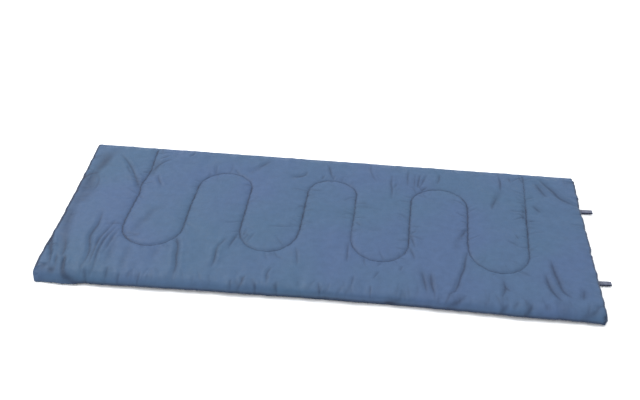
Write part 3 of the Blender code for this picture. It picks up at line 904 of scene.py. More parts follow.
def ripples(x, y, count, shortest, longest):
    """A sum of random waves, about 1 high."""
    total = np.zeros_like(x)
    for _ in range(count):
        angle = RANDOM.uniform(0, math.pi)
        length = RANDOM.uniform(shortest, longest)
        phase = RANDOM.uniform(0, 2 * math.pi)
        total += np.sin((x * math.cos(angle) + y * math.sin(angle)) * 2 * math.pi / length + phase)
    return total / math.sqrt(count / 2)


def crumple(plan, points, growth, frames):
    """How far each point of a cloth moves when it is a little too large for its seams.

    The cloth is held along the quilting seam and along its edge, and buckles in between.
    """
    start = ripples(plan["x"], plan["y"], *START_WAVES) * START_HEIGHT
    start *= smooth(0, START_FREE, np.minimum(plan["from_seam"], plan["inset"]))
    still = points.copy()
    still[..., 2] += start
    rows, columns = plan["x"].shape
    cloth = add_mesh("crumpling_cloth", still, grid_faces(rows, columns), None)
    held = cloth.vertex_groups.new(name="held")
    held.add(np.flatnonzero(plan["held"]).tolist(), 1.0, "REPLACE")
    loose = cloth.vertex_groups.new(name="loose")
    near_edge = LOOSE_EDGE[0] * np.exp(-plan["inset"] / LOOSE_EDGE[1])
    near_seam = LOOSE_SEAM[0] * np.exp(-plan["from_seam"] / LOOSE_SEAM[1])
    tenths = np.round(10 * np.maximum(near_edge, near_seam)).astype(int)
    for tenth in range(1, 11):
        loose.add(np.flatnonzero(tenths == tenth).tolist(), tenth / 10, "REPLACE")
    cloth_modifier = cloth.modifiers.new("cloth", "CLOTH")
    settings = cloth_modifier.settings
    for setting, amount in CLOTH_SETTINGS.items():
        setattr(settings, setting, amount)
    settings.vertex_group_mass = "held"
    settings.vertex_group_shrink = "loose"
    settings.shrink_min = -LEAST_GROWTH * growth
    settings.shrink_max = -MOST_GROWTH * growth
    settings.effector_weights.gravity = 0
    cloth_modifier.collision_settings.use_collision = False
    for step in range(1, frames + 1):
        bpy.context.scene.frame_set(step)
    settled = cloth.evaluated_get(bpy.context.evaluated_depsgraph_get())
    moved = np.zeros(3 * rows * columns)
    settled.data.vertices.foreach_get("co", moved)
    mesh = cloth.data
    bpy.data.objects.remove(cloth)
    bpy.data.meshes.remove(mesh)
    bpy.context.scene.frame_set(1)
    return moved.reshape(rows, columns, 3) - points


def refine(field):
    """A grid of values with a point added between every two, on a smooth curve."""
    for axis in (0, 1):
        field = np.moveaxis(field, axis, 0)
        padded = np.concatenate([2 * field[:1] - field[1:2], field, 2 * field[-1:] - field[-2:-1]])
        between = (9 * (padded[1:-2] + padded[2:-1]) - padded[:-3] - padded[3:]) / 16
        fine = np.empty((2 * len(field) - 1, *field.shape[1:]))
        fine[::2] = field
        fine[1::2] = between
        field = np.moveaxis(fine, 0, axis)
    return field


def limited(move, most_in, most_out):
    """Softly caps a displacement on both sides of zero."""
    return np.where(move > 0, most_out * np.tanh(move / most_out), most_in * np.tanh(move / most_in))


def turned_round(field, plan):
    """A grid's field turned end for end, so that its seam falls on the seam again."""
    first = FIRST_RUN - HALF_LENGTH
    last = run_place(SEAM_RUNS - 1) - HALF_LENGTH
    ends = [-HALF_LENGTH, first, last, HALF_LENGTH]
    x = np.interp(plan["x"], ends, [HALF_LENGTH, last, first, -HALF_LENGTH])
    return sample(field[..., None], plan, x, plan["y"])[..., 0]


# Folds and wrinkles


def beside(plan, path, reach):
    """Points of a grid within reach of a smooth line, how far off, and a share fading to its ends.

    The path's places are counted from the head and from the near side, as the cloth lies. They are
    moved to where the grid has them before the head is stretched and the near edge rolled.
    """
    path = np.array(path, float)
    seen = path[:, 0].copy()
    for _ in range(UNSTRETCH_ROUNDS):
        path[:, 0] = seen + head_reach(path[:, 0], path[:, 1])
    rolled = np.interp(path[:, 1], NEAR_PLACES, NEAR_ON_CLOTH)
    path[:, 1] = np.where(path[:, 1] < ROLL_INSET, rolled, path[:, 1])
    line = through(path, PATH_STEPS * (len(path) - 1)) - (HALF_LENGTH, HALF_WIDTH)
    low, high = line.min(0) - reach, line.max(0) + reach
    near_x = (plan["x"] > low[0]) & (plan["x"] < high[0])
    near = near_x & (plan["y"] > low[1]) & (plan["y"] < high[1])
    place = np.stack([plan["x"][near], plan["y"][near]], -1)[:, None]
    start, step = line[:-1], np.diff(line, axis=0)
    length = np.linalg.norm(step, axis=1)
    share = np.clip(((place - start) * step).sum(-1) / length**2, 0, 1)
    distance = np.linalg.norm(place - start - share[..., None] * step, axis=-1)
    nearest = distance.argmin(1)
    pick = np.arange(len(nearest)), nearest
    run = arc_length(line)[nearest] + share[pick] * length[nearest]
    taper = np.maximum(np.sin(np.pi * run / length.sum()), 0) ** TAPER_POWER
    return near, distance[pick], taper


def one_hollow(plan, depth, width, path):
    """A broad soft hollow along a path: its height."""
    near, distance, taper = beside(plan, path, HOLLOW_REACH * width)
    hollow = np.zeros_like(plan["x"])
    hollow[near] = -depth * taper * faded(distance, width)
    return hollow


def one_fold(plan, depth, width, path):
    """A notch with a puff on either side, which tapers at both ends: its height and its crease's
    painted shade.
    """
    near, distance, taper = beside(plan, path, FOLD_REACH * width)
    aside = distance / width
    puff_height, puff_place, puff_width = FOLD_PUFF
    puff = puff_height * faded(aside - puff_place, puff_width)
    fold = np.zeros((*plan["x"].shape, 2))
    fold[near, 0] = depth * taper * (puff - np.exp(-aside / FOLD_NOTCH))
    # Painted shade in the crease: a dark line on it and a softer spread beside it
    line = (1 - CREASE_SPREAD) * faded(distance, CREASE_WIDTH)
    fold[near, 1] = depth * taper * (line + CREASE_SPREAD * np.exp(-aside))
    return fold


def short_wrinkle(plan, start, heading):
    """A short fold from a place in plan, roughly along a heading, of a random size."""
    length = RANDOM.uniform(*WRINKLE_LENGTH)
    heading += RANDOM.normal(0, WRINKLE_TURN)
    bend = RANDOM.normal(0, WRINKLE_BEND)
    half = 0.5 * length * np.array([math.cos(heading), math.sin(heading)])
    rest = 0.5 * length * np.array([math.cos(heading + bend), math.sin(heading + bend)])
    path = [start - WRINKLE_BACK * half, start + half, start + half + rest]
    depth = RANDOM.uniform(*WRINKLE_DEPTH)
    return one_fold(plan, depth, RANDOM.uniform(*WRINKLE_WIDTH), path)


def listed(folds, strength):
    """Depths, half widths and paths of a list, in metres."""
    for depth, width, path in folds:
        yield strength * depth, 0.001 * width, metres(path)


def all_folds(plan):
    """Every fold and wrinkle of the upper shell: heights over its surface, and painted shade in its
    creases and hollows.
    """
    folds = np.zeros((*plan["x"].shape, 2))
    for depth, width, path in listed(FOLDS, FOLD_STRENGTH):
        folds += one_fold(plan, depth, width, path)
    for depth, width, path in listed(PINCHES, PINCH_STRENGTH):
        folds += one_fold(plan, depth, width, path) * (1, PINCH_SHADE)
    for depth, width, path in listed(HOLLOWS, HOLLOW_STRENGTH):
        # Hollows get painted shade by their depth
        folds += one_hollow(plan, depth, width, path)[..., None] * (1, -HOLLOW_SHADE)
    for _ in range(LONG_EDGE_WRINKLES):
        along = RANDOM.uniform(0, LENGTH)
        near = RANDOM.random() < NEAR_SHARE
        start = np.array([along, -NEAR_START if near else WIDTH + OUTSIDE_START])
        folds += short_wrinkle(plan, start, math.pi / 2 if near else -math.pi / 2)
    for _ in range(END_WRINKLES):
        across = RANDOM.uniform(0, WIDTH)
        head = RANDOM.random() < HEAD_SHARE
        start = np.array([-OUTSIDE_START if head else LENGTH + OUTSIDE_START, across])
        folds += short_wrinkle(plan, start, 0 if head else math.pi)
    seam = seam_path(CELL) + (HALF_LENGTH, HALF_WIDTH)
    for _ in range(SEAM_WRINKLES):
        at = RANDOM.integers(1, len(seam) - 1)
        ahead = seam[at + 1] - seam[at - 1]
        side = RANDOM.choice([-1, 1])
        heading = math.atan2(ahead[1], ahead[0]) + side * math.pi / 2
        folds += SEAM_WRINKLING * short_wrinkle(plan, seam[at], heading)
    return folds


# Materials


def add_node(tree, kind, **values):
    """A shader node with some of its settings."""
    node = tree.nodes.new(kind)
    for name, value in values.items():
        setattr(node, name, value)
    return node


def noise(tree, coordinates, scale, detail=3.0, stretch=(1, 1, 1), distortion=0.0):
    """Noise, from 0 to 1, of a scale a metre."""
    mapping = add_node(tree, "ShaderNodeMapping")
    mapping.inputs["Scale"].default_value = stretch
    made = add_node(tree, "ShaderNodeTexNoise")
    made.inputs["Scale"].default_value = scale
    made.inputs["Detail"].default_value = detail
    made.inputs["Distortion"].default_value = distortion
    tree.links.new(coordinates, mapping.inputs["Vector"])
    tree.links.new(mapping.outputs["Vector"], made.inputs["Vector"])
    return made.outputs["Fac"]


def ramp(tree, value, stops):
    """Colours between stops, each a value and a colour or a grey level."""
    made = add_node(tree, "ShaderNodeValToRGB")
    elements = made.color_ramp.elements
    while len(elements) < len(stops):
        elements.new(0.5)
    for element, (place, colour) in zip(elements, stops):
        element.position = place
        element.color = colour if isinstance(colour, tuple) else (colour, colour, colour, 1)
    tree.links.new(value, made.inputs["Fac"])
    return made.outputs["Color"]


def feed(tree, socket, value):
    """Links a node's output to a socket, or sets the socket to a plain value."""
    if isinstance(value, bpy.types.NodeSocket):
        tree.links.new(value, socket)
    else:
        socket.default_value = value


def mixed(tree, factor, first, second, blend="MIX"):
    """One colour over another."""
    made = add_node(tree, "ShaderNodeMix", data_type="RGBA", blend_type=blend)
    factor_in, first_in, second_in = (made.inputs[k] for k in (0, 6, 7))
    feed(tree, factor_in, factor)
    feed(tree, first_in, first)
    feed(tree, second_in, second)
    return made.outputs[2]


def product(tree, first, second):
    """Two values multiplied."""
    made = add_node(tree, "ShaderNodeMath", operation="MULTIPLY")
    feed(tree, made.inputs[0], first)
    feed(tree, made.inputs[1], second)
    return made.outputs["Value"]


def threads(tree, coordinates, period, direction):
    """Bands across one axis, for the threads that run along the other."""
    made = add_node(tree, "ShaderNodeTexWave", wave_type="BANDS", bands_direction=direction)
    made.inputs["Scale"].default_value = BAND_SCALE / period
    made.inputs["Distortion"].default_value = 0.4
    made.inputs["Detail"].default_value = 1.0
    tree.links.new(coordinates, made.inputs["Vector"])
    return made.outputs["Fac"]


def bump(tree, height, strength, distance, normal=None):
    """Normals of a height, over those of a coarser bump."""
    made = add_node(tree, "ShaderNodeBump")
    made.inputs["Strength"].default_value = strength
    made.inputs["Distance"].default_value = distance
    tree.links.new(height, made.inputs["Height"])
    if normal is not None:
        tree.links.new(normal, made.inputs["Normal"])
    return made.outputs["Normal"]


def shader_material(name, roughness, metallic=0.0, specular=0.5, sheen=0.0):
    """A material with a Principled shader: the tree, the shader and object coordinates."""
    made = bpy.data.materials.new(name)
    made.use_nodes = True
    tree = made.node_tree
    shader = tree.nodes["Principled BSDF"]
    shader.inputs["Roughness"].default_value = roughness
    shader.inputs["Metallic"].default_value = metallic
    shader.inputs["Specular IOR Level"].default_value = specular
    shader.inputs["Sheen Weight"].default_value = sheen
    shader.inputs["Sheen Roughness"].default_value = 0.4
    coordinates = add_node(tree, "ShaderNodeTexCoord").outputs["Object"]
    return made, tree, shader, coordinates


def shade(colour, factor):
    """A colour made lighter or darker."""
    return (*(channel * factor for channel in colour[:3]), 1.0)


def woven_cloth(name, colour, cool, warm, painted_shade_colour, roughness, sheen, period, crinkle):
    """Plain-woven cloth: colour drift, mottling, painted shade, weave and fine crinkles."""
    made, tree, shader, at = shader_material(name, roughness, specular=0.25, sheen=sheen)
    shader.inputs["Sheen Tint"].default_value = shade(cool, 1.6)
    drift = noise(tree, at, scale=3.2, detail=2.0)
    drift = ramp(tree, drift, [(0.35, cool), (0.5, colour), (0.65, warm)])
    mottle = noise(tree, at, scale=42, detail=4.0)
    mottle = ramp(tree, mottle, [(0.3, 0.93), (0.7, 1.05)])
    tone = mixed(tree, 1.0, drift, mottle, "MULTIPLY")
    # Painted shade: mixed towards a dark colour along the seam's groove, in creases and hollows and at
    # the hem
    line = add_node(tree, "ShaderNodeAttribute", attribute_name="dark_line").outputs["Fac"]
    tone = mixed(tree, line, tone, painted_shade_colour)
    warp, weft = threads(tree, at, period, "X"), threads(tree, at, period, "Y")
    weave = product(tree, warp, weft)
    weave_tone = ramp(tree, weave, [(0.0, 0.94), (0.6, 1.03)])
    tone = mixed(tree, 1.0, tone, weave_tone, "MULTIPLY")
    tree.links.new(tone, shader.inputs["Base Color"])
    spots = noise(tree, at, scale=90)
    rough = ramp(tree, spots, [(0.3, roughness - 0.06), (0.7, roughness + 0.07)])
    tree.links.new(rough, shader.inputs["Roughness"])
    crinkles = noise(tree, at, scale=55, detail=5.0, distortion=0.6)
    first = bump(tree, crinkles, strength=crinkle, distance=0.004)
    tree.links.new(bump(tree, weave, 0.25, 0.0002, first), shader.inputs["Normal"])
    return made


def fleece(name, colour):
    """Soft white wadding."""
    made, tree, shader, at = shader_material(name, 0.95, specular=0.1, sheen=0.5)
    clumps = noise(tree, at, scale=60, detail=6.0, distortion=1.2)
    tone = ramp(tree, clumps, [(0.3, shade(colour, 0.85)), (0.7, colour)])
    tree.links.new(tone, shader.inputs["Base Color"])
    tree.links.new(bump(tree, clumps, 0.6, 0.003), shader.inputs["Normal"])
    return made


def twisted_thread(name, colour):
    """Sewing thread: fine diagonal plies."""
    made, tree, shader, at = shader_material(name, 0.6, specular=0.3, sheen=0.4)
    plies = threads(tree, at, 0.0009, "DIAGONAL")
    tone = ramp(tree, plies, [(0.2, shade(colour, 0.7)), (0.8, shade(colour, 1.15))])
    tree.links.new(tone, shader.inputs["Base Color"])
    tree.links.new(bump(tree, plies, 0.4, 0.0002), shader.inputs["Normal"])
    return made


def ribbed_tape(name, colour, period, direction, edge=None):
    """Woven tape with ribs across it, worn paler in places, with painted shade on its edges where that
    is given.
    """
    made, tree, shader, at = shader_material(name, 0.75, specular=0.3, sheen=0.35)
    ribs = threads(tree, at, period, direction)
    rows = threads(tree, at, period * 0.6, "Z")
    weave = product(tree, ribs, rows)
    tone = ramp(tree, weave, [(0.0, shade(colour, 0.78)), (0.7, shade(colour, 1.12))])
    wear = ramp(tree, noise(tree, at, scale=30, detail=4.0), [(0.45, 0), (0.8, 0.35)])
    tone = mixed(tree, wear, tone, shade(colour, 1.7))
    # Painted shade on the tape's edges, where a colour for it is given
    if edge:
        line = add_node(tree, "ShaderNodeAttribute", attribute_name="edge_line").outputs["Fac"]
        tone = mixed(tree, line, tone, edge)
    tree.links.new(tone, shader.inputs["Base Color"])
    tree.links.new(bump(tree, weave, 0.5, 0.0004), shader.inputs["Normal"])
    return made


def plastic(name, colour, roughness):
    """Moulded plastic with a faint grain and scuffs."""
    made, tree, shader, at = shader_material(name, roughness, specular=0.5)
    grain = noise(tree, at, scale=900)
    scuffs = noise(tree, at, scale=160, detail=5.0, stretch=(1, 1, 0.2))
    tone = ramp(tree, scuffs, [(0.35, shade(colour, 0.85)), (0.7, shade(colour, 1.1))])
    tree.links.new(tone, shader.inputs["Base Color"])
    tree.links.new(bump(tree, grain, 0.15, 0.0002), shader.inputs["Normal"])
    return made


def worn_metal(name, colour):
    """Plated metal: brushed, a little dull, with small stains."""
    made, tree, shader, at = shader_material(name, 0.35, metallic=1.0)
    brushed = noise(tree, at, scale=500, stretch=(0.1, 1, 1))
    stains = noise(tree, at, scale=120, detail=5.0)
    tone = ramp(tree, stains, [(0.35, shade(colour, 0.6)), (0.6, colour)])
    tree.links.new(tone, shader.inputs["Base Color"])
    rough = ramp(tree, brushed, [(0.3, 0.28), (0.7, 0.5)])
    tree.links.new(rough, shader.inputs["Roughness"])
    tree.links.new(bump(tree, brushed, 0.15, 0.0001), shader.inputs["Normal"])
    return made


SHELL_CLOTH = woven_cloth(
    "shell_taffeta",
    colour=srgb(58, 81, 110),
    cool=srgb(56, 81, 108),
    warm=srgb(59, 80, 112),
    # the colour of the painted shade
    painted_shade_colour=srgb(16, 26, 48),
    roughness=0.55,
    sheen=0.12,
    period=0.0011,
    crinkle=0.06,
)
LINING_CLOTH = woven_cloth(
    "lining_cotton",
    colour=srgb(112, 124, 144),
    cool=srgb(108, 124, 142),
    warm=srgb(114, 122, 150),
    # the colour of the painted shade
    painted_shade_colour=srgb(70, 80, 104),
    roughness=0.72,
    sheen=0.35,
    period=0.0014,
    crinkle=0.08,
)
WADDING = fleece("hollow_fibre", srgb(226, 228, 232))
THREAD = twisted_thread("sewing_thread", srgb(44, 58, 88))
BINDING = ribbed_tape("binding_tape", srgb(58, 70, 98), period=0.0012, direction="Y")
ZIP_TAPE = ribbed_tape("zip_tape_weave", srgb(44, 54, 82), period=0.0010, direction="X")
COIL = plastic("zip_coil_nylon", srgb(38, 46, 72), roughness=0.38)
METAL = worn_metal("plated_zinc", srgb(140, 142, 148))
END_FITTING = plastic("pale_plastic", srgb(170, 180, 184), roughness=0.45)
# Painted shade for the loop strap's rounded edges
WEBBING_PAINTED_SHADE = srgb(48, 58, 82)
WEBBING = ribbed_tape(
    "loop_weave", srgb(90, 94, 110), period=0.0016, direction="X", edge=WEBBING_PAINTED_SHADE
)


# Quilts


def painted_groove_shade(plan):
    """Painted shade along the seam's groove, fainter on the arcs and uneven along the way."""
    across = plan["y"] + HALF_WIDTH
    on_arcs = 1 - smooth(*LOW_ARCS, across) + smooth(*HIGH_ARCS, across)
    on_arcs *= smooth(*ARCS_BEGIN, plan["x"] + HALF_LENGTH - FIRST_RUN)
    wave_x, wave_y = SHADE_WAVES
    swing = np.sin(wave_x * plan["x"]) * np.sin(wave_y * plan["y"] + 1)
    strength = (SHADE_MEAN + SHADE_SWING * swing) * (1 - ARC_FAINTNESS * on_arcs)
    line, width = SEAM_LINE
    soft, reach = SEAM_SHADE
    distance = plan["from_seam"]
    return strength * (line * faded(distance, width) + soft * np.exp(-distance / reach))


def painted_hem_shade(plan):
    """Painted shade on the rolled hem, on every side but the far one."""
    splay = (1 - smooth(*FLAP_SPAN, plan["x"] + HALF_LENGTH)) * (plan["normal_y"] < 0)
    foot = FOOT_HEM * smooth(0.0, FOOT_TURN, plan["normal_x"])
    hem = HEM_SHADE * (1 - SPLAY_FAINTNESS * splay) * (1 - smooth(*HEM_END, rolled_share(plan) - foot))
    return hem * (plan["normal_y"] < 0.5)


def cloth_object(name, points, plan, faces_up, material, creases=0):
    """A cloth with a float of painted shade that its material darkens by, along the seam, in folds and
    at the hem.
    """
    made = add_mesh(name, points, grid_faces(*plan["x"].shape, flip=not faces_up), material)
    # Painted shade of the seam's groove, the hem and the creases
    dark = np.maximum(painted_groove_shade(plan), painted_hem_shade(plan))
    dark += np.minimum(creases / CREASE_DEPTH, MOST_CREASED)
    float_attribute(made, "dark_line", np.minimum(dark, DARKEST))
    return made


def buckled_upper_shell(coarse, fine):
    """The upper shell on the fine grid, after the simulation and with its folds.

    With it come the painted shade of its creases, and how far the simulation moved the coarse grid
    upwards.
    """
    move = crumple(coarse, upper_shell_points(coarse), GROWTH, FRAMES)
    rolled = rolled_share(fine)
    calm = 1 - faded(fine["from_seam"], CALM_REACH)
    steady = EDGE_STEADY + (1 - EDGE_STEADY) * smooth(0, 1, rolled)
    fine_move = refine(move) * (KEPT * calm * steady)[..., None]
    points = upper_shell_points(fine) + limited(fine_move, MOST_IN, MOST_OUT)
    held = smooth(0, FOLD_ROWS, rolled) * calm
    folds = all_folds(fine) * held[..., None]
    deepest = DEEPEST * (RIM_SHARE + (1 - RIM_SHARE) * smooth(*RIM_SPAN, rolled))
    points += normals_of(points) * limited(folds[..., :1], deepest[..., None], HIGHEST)
    return points, folds[..., 1], move[..., 2]


def lowest_near(height):
    """The lowest value among each point of a grid and its neighbours."""
    padded = np.pad(height, 1, mode="edge")
    rows, columns = height.shape
    shifts = [padded[i : i + rows, j : j + columns] for i in range(3) for j in range(3)]
    return np.min(shifts, 0)


def batting_object(side, sign, plan, shell, lining, material):
    """A closed pad between a shell and a lining, sharing their seam."""
    edge_sets = []
    for edge in (OUTER_BATTING_EDGE, INNER_BATTING_EDGE):
        edge_sets.append(dict.fromkeys(("near", "foot", "head", "far"), facing(edge, sign)))
    inside = (plan["level"] >= plan["rows"])[..., None]
    pinch = (BATTING_SHARE + BATTING_PINCH * faded(plan["from_seam"], BATTING_REACH))[..., None]
    shell = shell.copy()
    shell[..., 2] = sign * lowest_near(sign * shell[..., 2])
    faces = []
    for share, edges in zip((pinch, 1 - pinch), edge_sets):
        crown = edges["near"][-1][1] / 1000
        rim = cloth_points(plan, edges, crown, sign * BATTING_SEAM)
        rim = splayed(rim) if sign > 0 else rim
        faces.append(np.where(inside, shell + (lining - shell) * share, rim))
    rows, columns = plan["x"].shape
    count = rows * columns
    up = sign > 0
    quads = grid_faces(rows, columns, flip=not up)
    quads += grid_faces(rows, columns, flip=up, start=count)
    index = np.arange(count).reshape(rows, columns)
    ring = np.concatenate([index[0, :-1], index[:-1, -1], index[-1, :0:-1], index[:0:-1, 0]])
    quads += [(a, b, b + count, a + count) for a, b in zip(ring, np.roll(ring, -1))]
    quads = [tuple(map(int, quad)) for quad in quads]
    return add_mesh(f"{side}_batting_pad", np.stack(faces), quads, material)


def ride_as(made, body, slot, *nodes):
    """Puts a piece on its body and hides the CAD nodes that it stands for; its slot is not used."""
    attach(made, body)
    if nodes:
        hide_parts(*nodes)
    return made


# Stitches and strips


def tube_faces(rings):
    """Quads between rings of points, each ring a row of indices."""
    ahead = np.roll(rings, -1, 1)
    return np.stack([rings[:-1], ahead[:-1], ahead[1:], rings[1:]], -1).reshape(-1, 4)


def stitches(name, centres, ways, ups, material):
    """Short stitches, each a little bar whose ends sink into the cloth."""
    angles = np.arange(STITCH_SIDES) * 2 * math.pi / STITCH_SIDES
    place, width, lift = (STITCH_RINGS[:, None, k] for k in range(3))
    along = place * STITCH_LENGTH * np.ones(STITCH_SIDES)
    side = width * STITCH_RADIUS * np.cos(angles)
    rise = STITCH_RADIUS * (width * np.sin(angles) + lift)
    across = np.cross(ups, ways)
    points = (
        centres[:, None, None]
        + along[..., None] * ways[:, None, None]
        + side[..., None] * across[:, None, None]
        + rise[..., None] * ups[:, None, None]
    )
    ring = np.arange(len(STITCH_RINGS) * STITCH_SIDES).reshape(-1, STITCH_SIDES)
    starts = ring.size * np.arange(len(centres))
    quads = (starts[:, None, None] + tube_faces(ring)).reshape(-1, 4).tolist()
    caps = [ring[0, ::-1], ring[-1]]
    ends = [(start + cap).tolist() for start in starts for cap in caps]
    return add_mesh(name, points, quads + ends, material)


def stitches_on(name, points, plan, path, up, material):
    """Stitches along a path in plan, on a cloth's upper face, or on its lower one if up is -1."""
    x, y = path[:, 0], path[:, 1]
    centres = sample(points, plan, x, y)
    ups = up * unit(sample(normals_of(points), plan, x, y))
    ways = unit(np.gradient(centres, axis=0))
    return stitches(name, centres + ups * STITCH_RADIUS, ways, ups, material)


def swept(name, line, side, section, material):
    """A closed section carried along a line. The section's first axis is the side direction."""
    along = unit(np.gradient(line, axis=0))
    side = unit(side - (side * along).sum(1, keepdims=True) * along)
    up = np.cross(along, side)
    section = np.array(section)
    if section.ndim == 2:
        section = np.broadcast_to(section, (len(line), *section.shape))
    ring = line[:, None] + section[..., :1] * side[:, None] + section[..., 1:] * up[:, None]
    count, corners = ring.shape[:2]
    index = np.arange(count * corners).reshape(count, corners)
    ends = [index[0, ::-1].tolist(), index[-1].tolist()]
    return add_mesh(name, ring, tube_faces(index).tolist() + ends, material)


def zip_route(start_x, end_y, step):
    """Points and outward directions along the near side, round its foot corner and up the foot."""
    radius = NEAR_FOOT_RADIUS
    straight = HALF_LENGTH - radius
    side = np.arange(start_x, straight, step)
    angles = np.linspace(-math.pi / 2, 0, CORNER_POINTS)
    foot = np.arange(radius - HALF_WIDTH + step, end_y, step)
    x = np.concatenate([side, straight + radius * np.cos(angles), np.full_like(foot, HALF_LENGTH)])
    round_y = radius - HALF_WIDTH + radius * np.sin(angles)
    y = np.concatenate([np.full_like(side, -HALF_WIDTH), round_y, foot])
    normal_x = np.concatenate([np.zeros_like(side), np.cos(angles), np.ones_like(foot)])
    normal_y = np.concatenate([-np.ones_like(side), np.sin(angles), np.zeros_like(foot)])
    return np.stack([x, y, np.full_like(x, MIDDLE)], 1), np.stack([normal_x, normal_y, 0 * x], 1)


def resampled(line, side, step):
    """A line and its side directions at even steps, and how far along it they are."""
    run = arc_length(line)
    at = np.arange(0, run[-1], step)

    def along(values):
        return np.stack([np.interp(at, run, values[:, k]) for k in range(3)], 1)

    return along(line), unit(along(side)), at


def thick(section, thickness):
    """A closed outline round an open section, of a thickness."""
    section = np.array(section)
    along = unit(np.gradient(section, axis=0))
    across = 0.5 * thickness * np.stack([-along[:, 1], along[:, 0]], 1)
    return np.concatenate([section + across, (section - across)[::-1]])


ZIP_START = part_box("upper_zip_tape")[0].x
ZIP_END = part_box("zip_end_pin")[0].y


def zip_tape(side, sign):
    """Woven tape, sewn on flat under the cloth's edge and bent up to the coil."""
    line, outward = zip_route(ZIP_START, ZIP_END, ZIP_STEP)
    # Along this route the sweep's second axis points down
    bend = through(metres(TAPE_SECTION), TAPE_POINTS) * (1, -sign)
    section = np.repeat(thick(bend, TAPE_THICKNESS)[None], len(line), 0)
    section[..., 0] += TAPE_WANDER * np.sin(np.arange(len(line)) * TAPE_WAVE)[:, None]
    made = swept(f"{side}_tape", line, outward, section, ZIP_TAPE)
    return ride_as(made, f"{side}_quilt", "zip_tape", f"{side}_zip_tape")


def zip_coil(side, sign):
    """A coil of nylon, wound round the tape's edge."""
    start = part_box("upper_zip_coil")[0].x
    line, outward = zip_route(start, ZIP_END, ZIP_STEP)
    line, outward, run = resampled(line, outward, COIL_PITCH / COIL_TURN)
    turn = 2 * math.pi * run / COIL_PITCH + (math.pi if sign > 0 else 0)
    wide, high = COIL_RADII
    radial = outward * np.cos(turn)[:, None] * wide
    radial[:, 2] += high * np.sin(turn)
    centre = line - ZIP_INSET * outward + (0, 0, sign * COIL_CENTRE)
    angles = np.arange(4) * math.pi / 2
    section = COIL_WIRE * np.stack([np.cos(angles), np.sin(angles)], 1)
    made = swept(f"{side}_coil", centre + radial, radial, section, COIL)
    return ride_as(made, f"{side}_quilt", "zip_coil", f"{side}_zip_coil")


def head_binding(side, sign):
    """Folded tape over the raw edges at the head."""
    low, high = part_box(f"{side}_head_binding")
    y = np.arange(low.y, high.y, BINDING_STEP)
    wander = sum(swing * np.sin(y * wave + phase) for swing, wave, phase in BINDING_WANDER)
    line = np.stack([np.full_like(y, -HALF_LENGTH) + wander, y, np.full_like(y, MIDDLE)], 1)
    line = splayed(line) if side == "upper" else line
    outward = np.tile((-1.0, 0.0, 0.0), (len(y), 1))
    middle = sum(BINDING_FACES) / 2
    lower_half = [(out, 2 * middle - height) for out, height in reversed(BINDING_NOSE)]
    section = BINDING_NOSE + [(BINDING_TIP, middle)] + lower_half
    made = swept(f"{side}_binding", line, outward, metres(facing(section, sign)), BINDING)
    return ride_as(made, f"{side}_quilt", "binding", f"{side}_head_binding")


def corner_inset(distance, radius):
    """How far a round corner has drawn the outline in, at a distance from the end."""
    left = np.clip(radius - distance, 0, radius)
    return radius - np.sqrt(radius**2 - left**2)


def fold_strip():
    """The shell's cloth round the fold, from the lower quilt's side to the upper quilt's."""
    half = metres(FOLD_SECTION)
    section = through(facing(half, -1) + [(FOLD_MIDDLE / 1000, 0.0)] + half[::-1], FOLD_POINTS)
    head_end = FOLD_START * HEAD_RADIUS - HALF_LENGTH
    foot_end = HALF_LENGTH - FOLD_START * FAR_FOOT_RADIUS
    fine_part = FOLD_FINE * np.arange(4)
    long_part = np.arange(4 * FOLD_FINE, foot_end - head_end - 2 * FOLD_FINE, FOLD_STEP)
    x = np.concatenate([head_end + fine_part, head_end + long_part, [foot_end - FOLD_FINE, foot_end]])
    rounding = corner_inset(x + HALF_LENGTH, HEAD_RADIUS)
    rounding += corner_inset(HALF_LENGTH - x, FAR_FOOT_RADIUS)
    swell = np.stack([ripples(x, 0 * x, *FOLD_WAVES) for _ in FOLD_LEVELS], 1)
    swell = np.array([np.interp(section[:, 1], FOLD_LEVELS, row) for row in swell])
    swell *= FOLD_SWELL * (1 - smooth(*FOLD_SWOLLEN, abs(section[:, 1])))
    outset = swell - section[:, 0] - rounding[:, None]
    points = np.stack(
        [
            np.broadcast_to(x[:, None], outset.shape),
            HALF_WIDTH + outset,
            np.broadcast_to(MIDDLE + section[None, :, 1], outset.shape),
        ],
        -1,
    )
    made = add_mesh("shell_fold", points, grid_faces(*outset.shape), SHELL_CLOTH)
    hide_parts("lower_shell_fold", "upper_shell_fold")
    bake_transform(made)
    return made


def hanging_loop(side):
    """A flat webbing strap, sewn in at the foot and folded back on itself."""
    node = f"{side}_hanging_loop"
    low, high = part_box(node)
    axis_x, across, axis_z = JOINTS[f"{side}_loop_swing"]["pos_m"]
    gap = LOOP_BEND - LOOP_THICKNESS / 2
    root = axis_x - LOOP_ROOT
    tip = high.x - LOOP_BEND
    at_root, at_axis = LOOP_GAPS
    upper = [(root, at_root), (axis_x, at_axis), (axis_x + LOOP_OPENS, gap), (tip - LOOP_CLOSES, gap)]
    turn = [(tip + gap * math.cos(angle), gap * math.sin(angle)) for angle in LOOP_TURN]
    line = through(upper + turn + facing(reversed(upper), -1), LOOP_POINTS)
    centre = np.stack([line[:, 0], np.full(len(line), across), axis_z + line[:, 1]], 1)
    swing, wave = LOOP_WAVE
    centre[:, 2] += swing * np.sin((line[:, 0] - root) * wave)
    centre[:, 2] += LOOP_TILT * smooth(axis_x, tip, line[:, 0])
    width = high.y - low.y
    half = [(share * width, part * LOOP_THICKNESS / 2) for share, part in LOOP_SECTION]
    top = half + [(-w, h) for w, h in reversed(half)]
    section = top + facing(reversed(top), -1)
    sideways = np.tile((0.0, 1.0, 0.0), (len(line), 1))
    made = swept(f"{side}_loop_strap", centre, sideways, section, WEBBING)
    # Painted shade on the strap's rounded edges
    share = abs(np.array(section)[:, 0]) / (width / 2)
    float_attribute(made, "edge_line", np.tile(smooth(*LOOP_EDGE, share), len(line)))
    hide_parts(node)
    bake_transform(made)
    return made


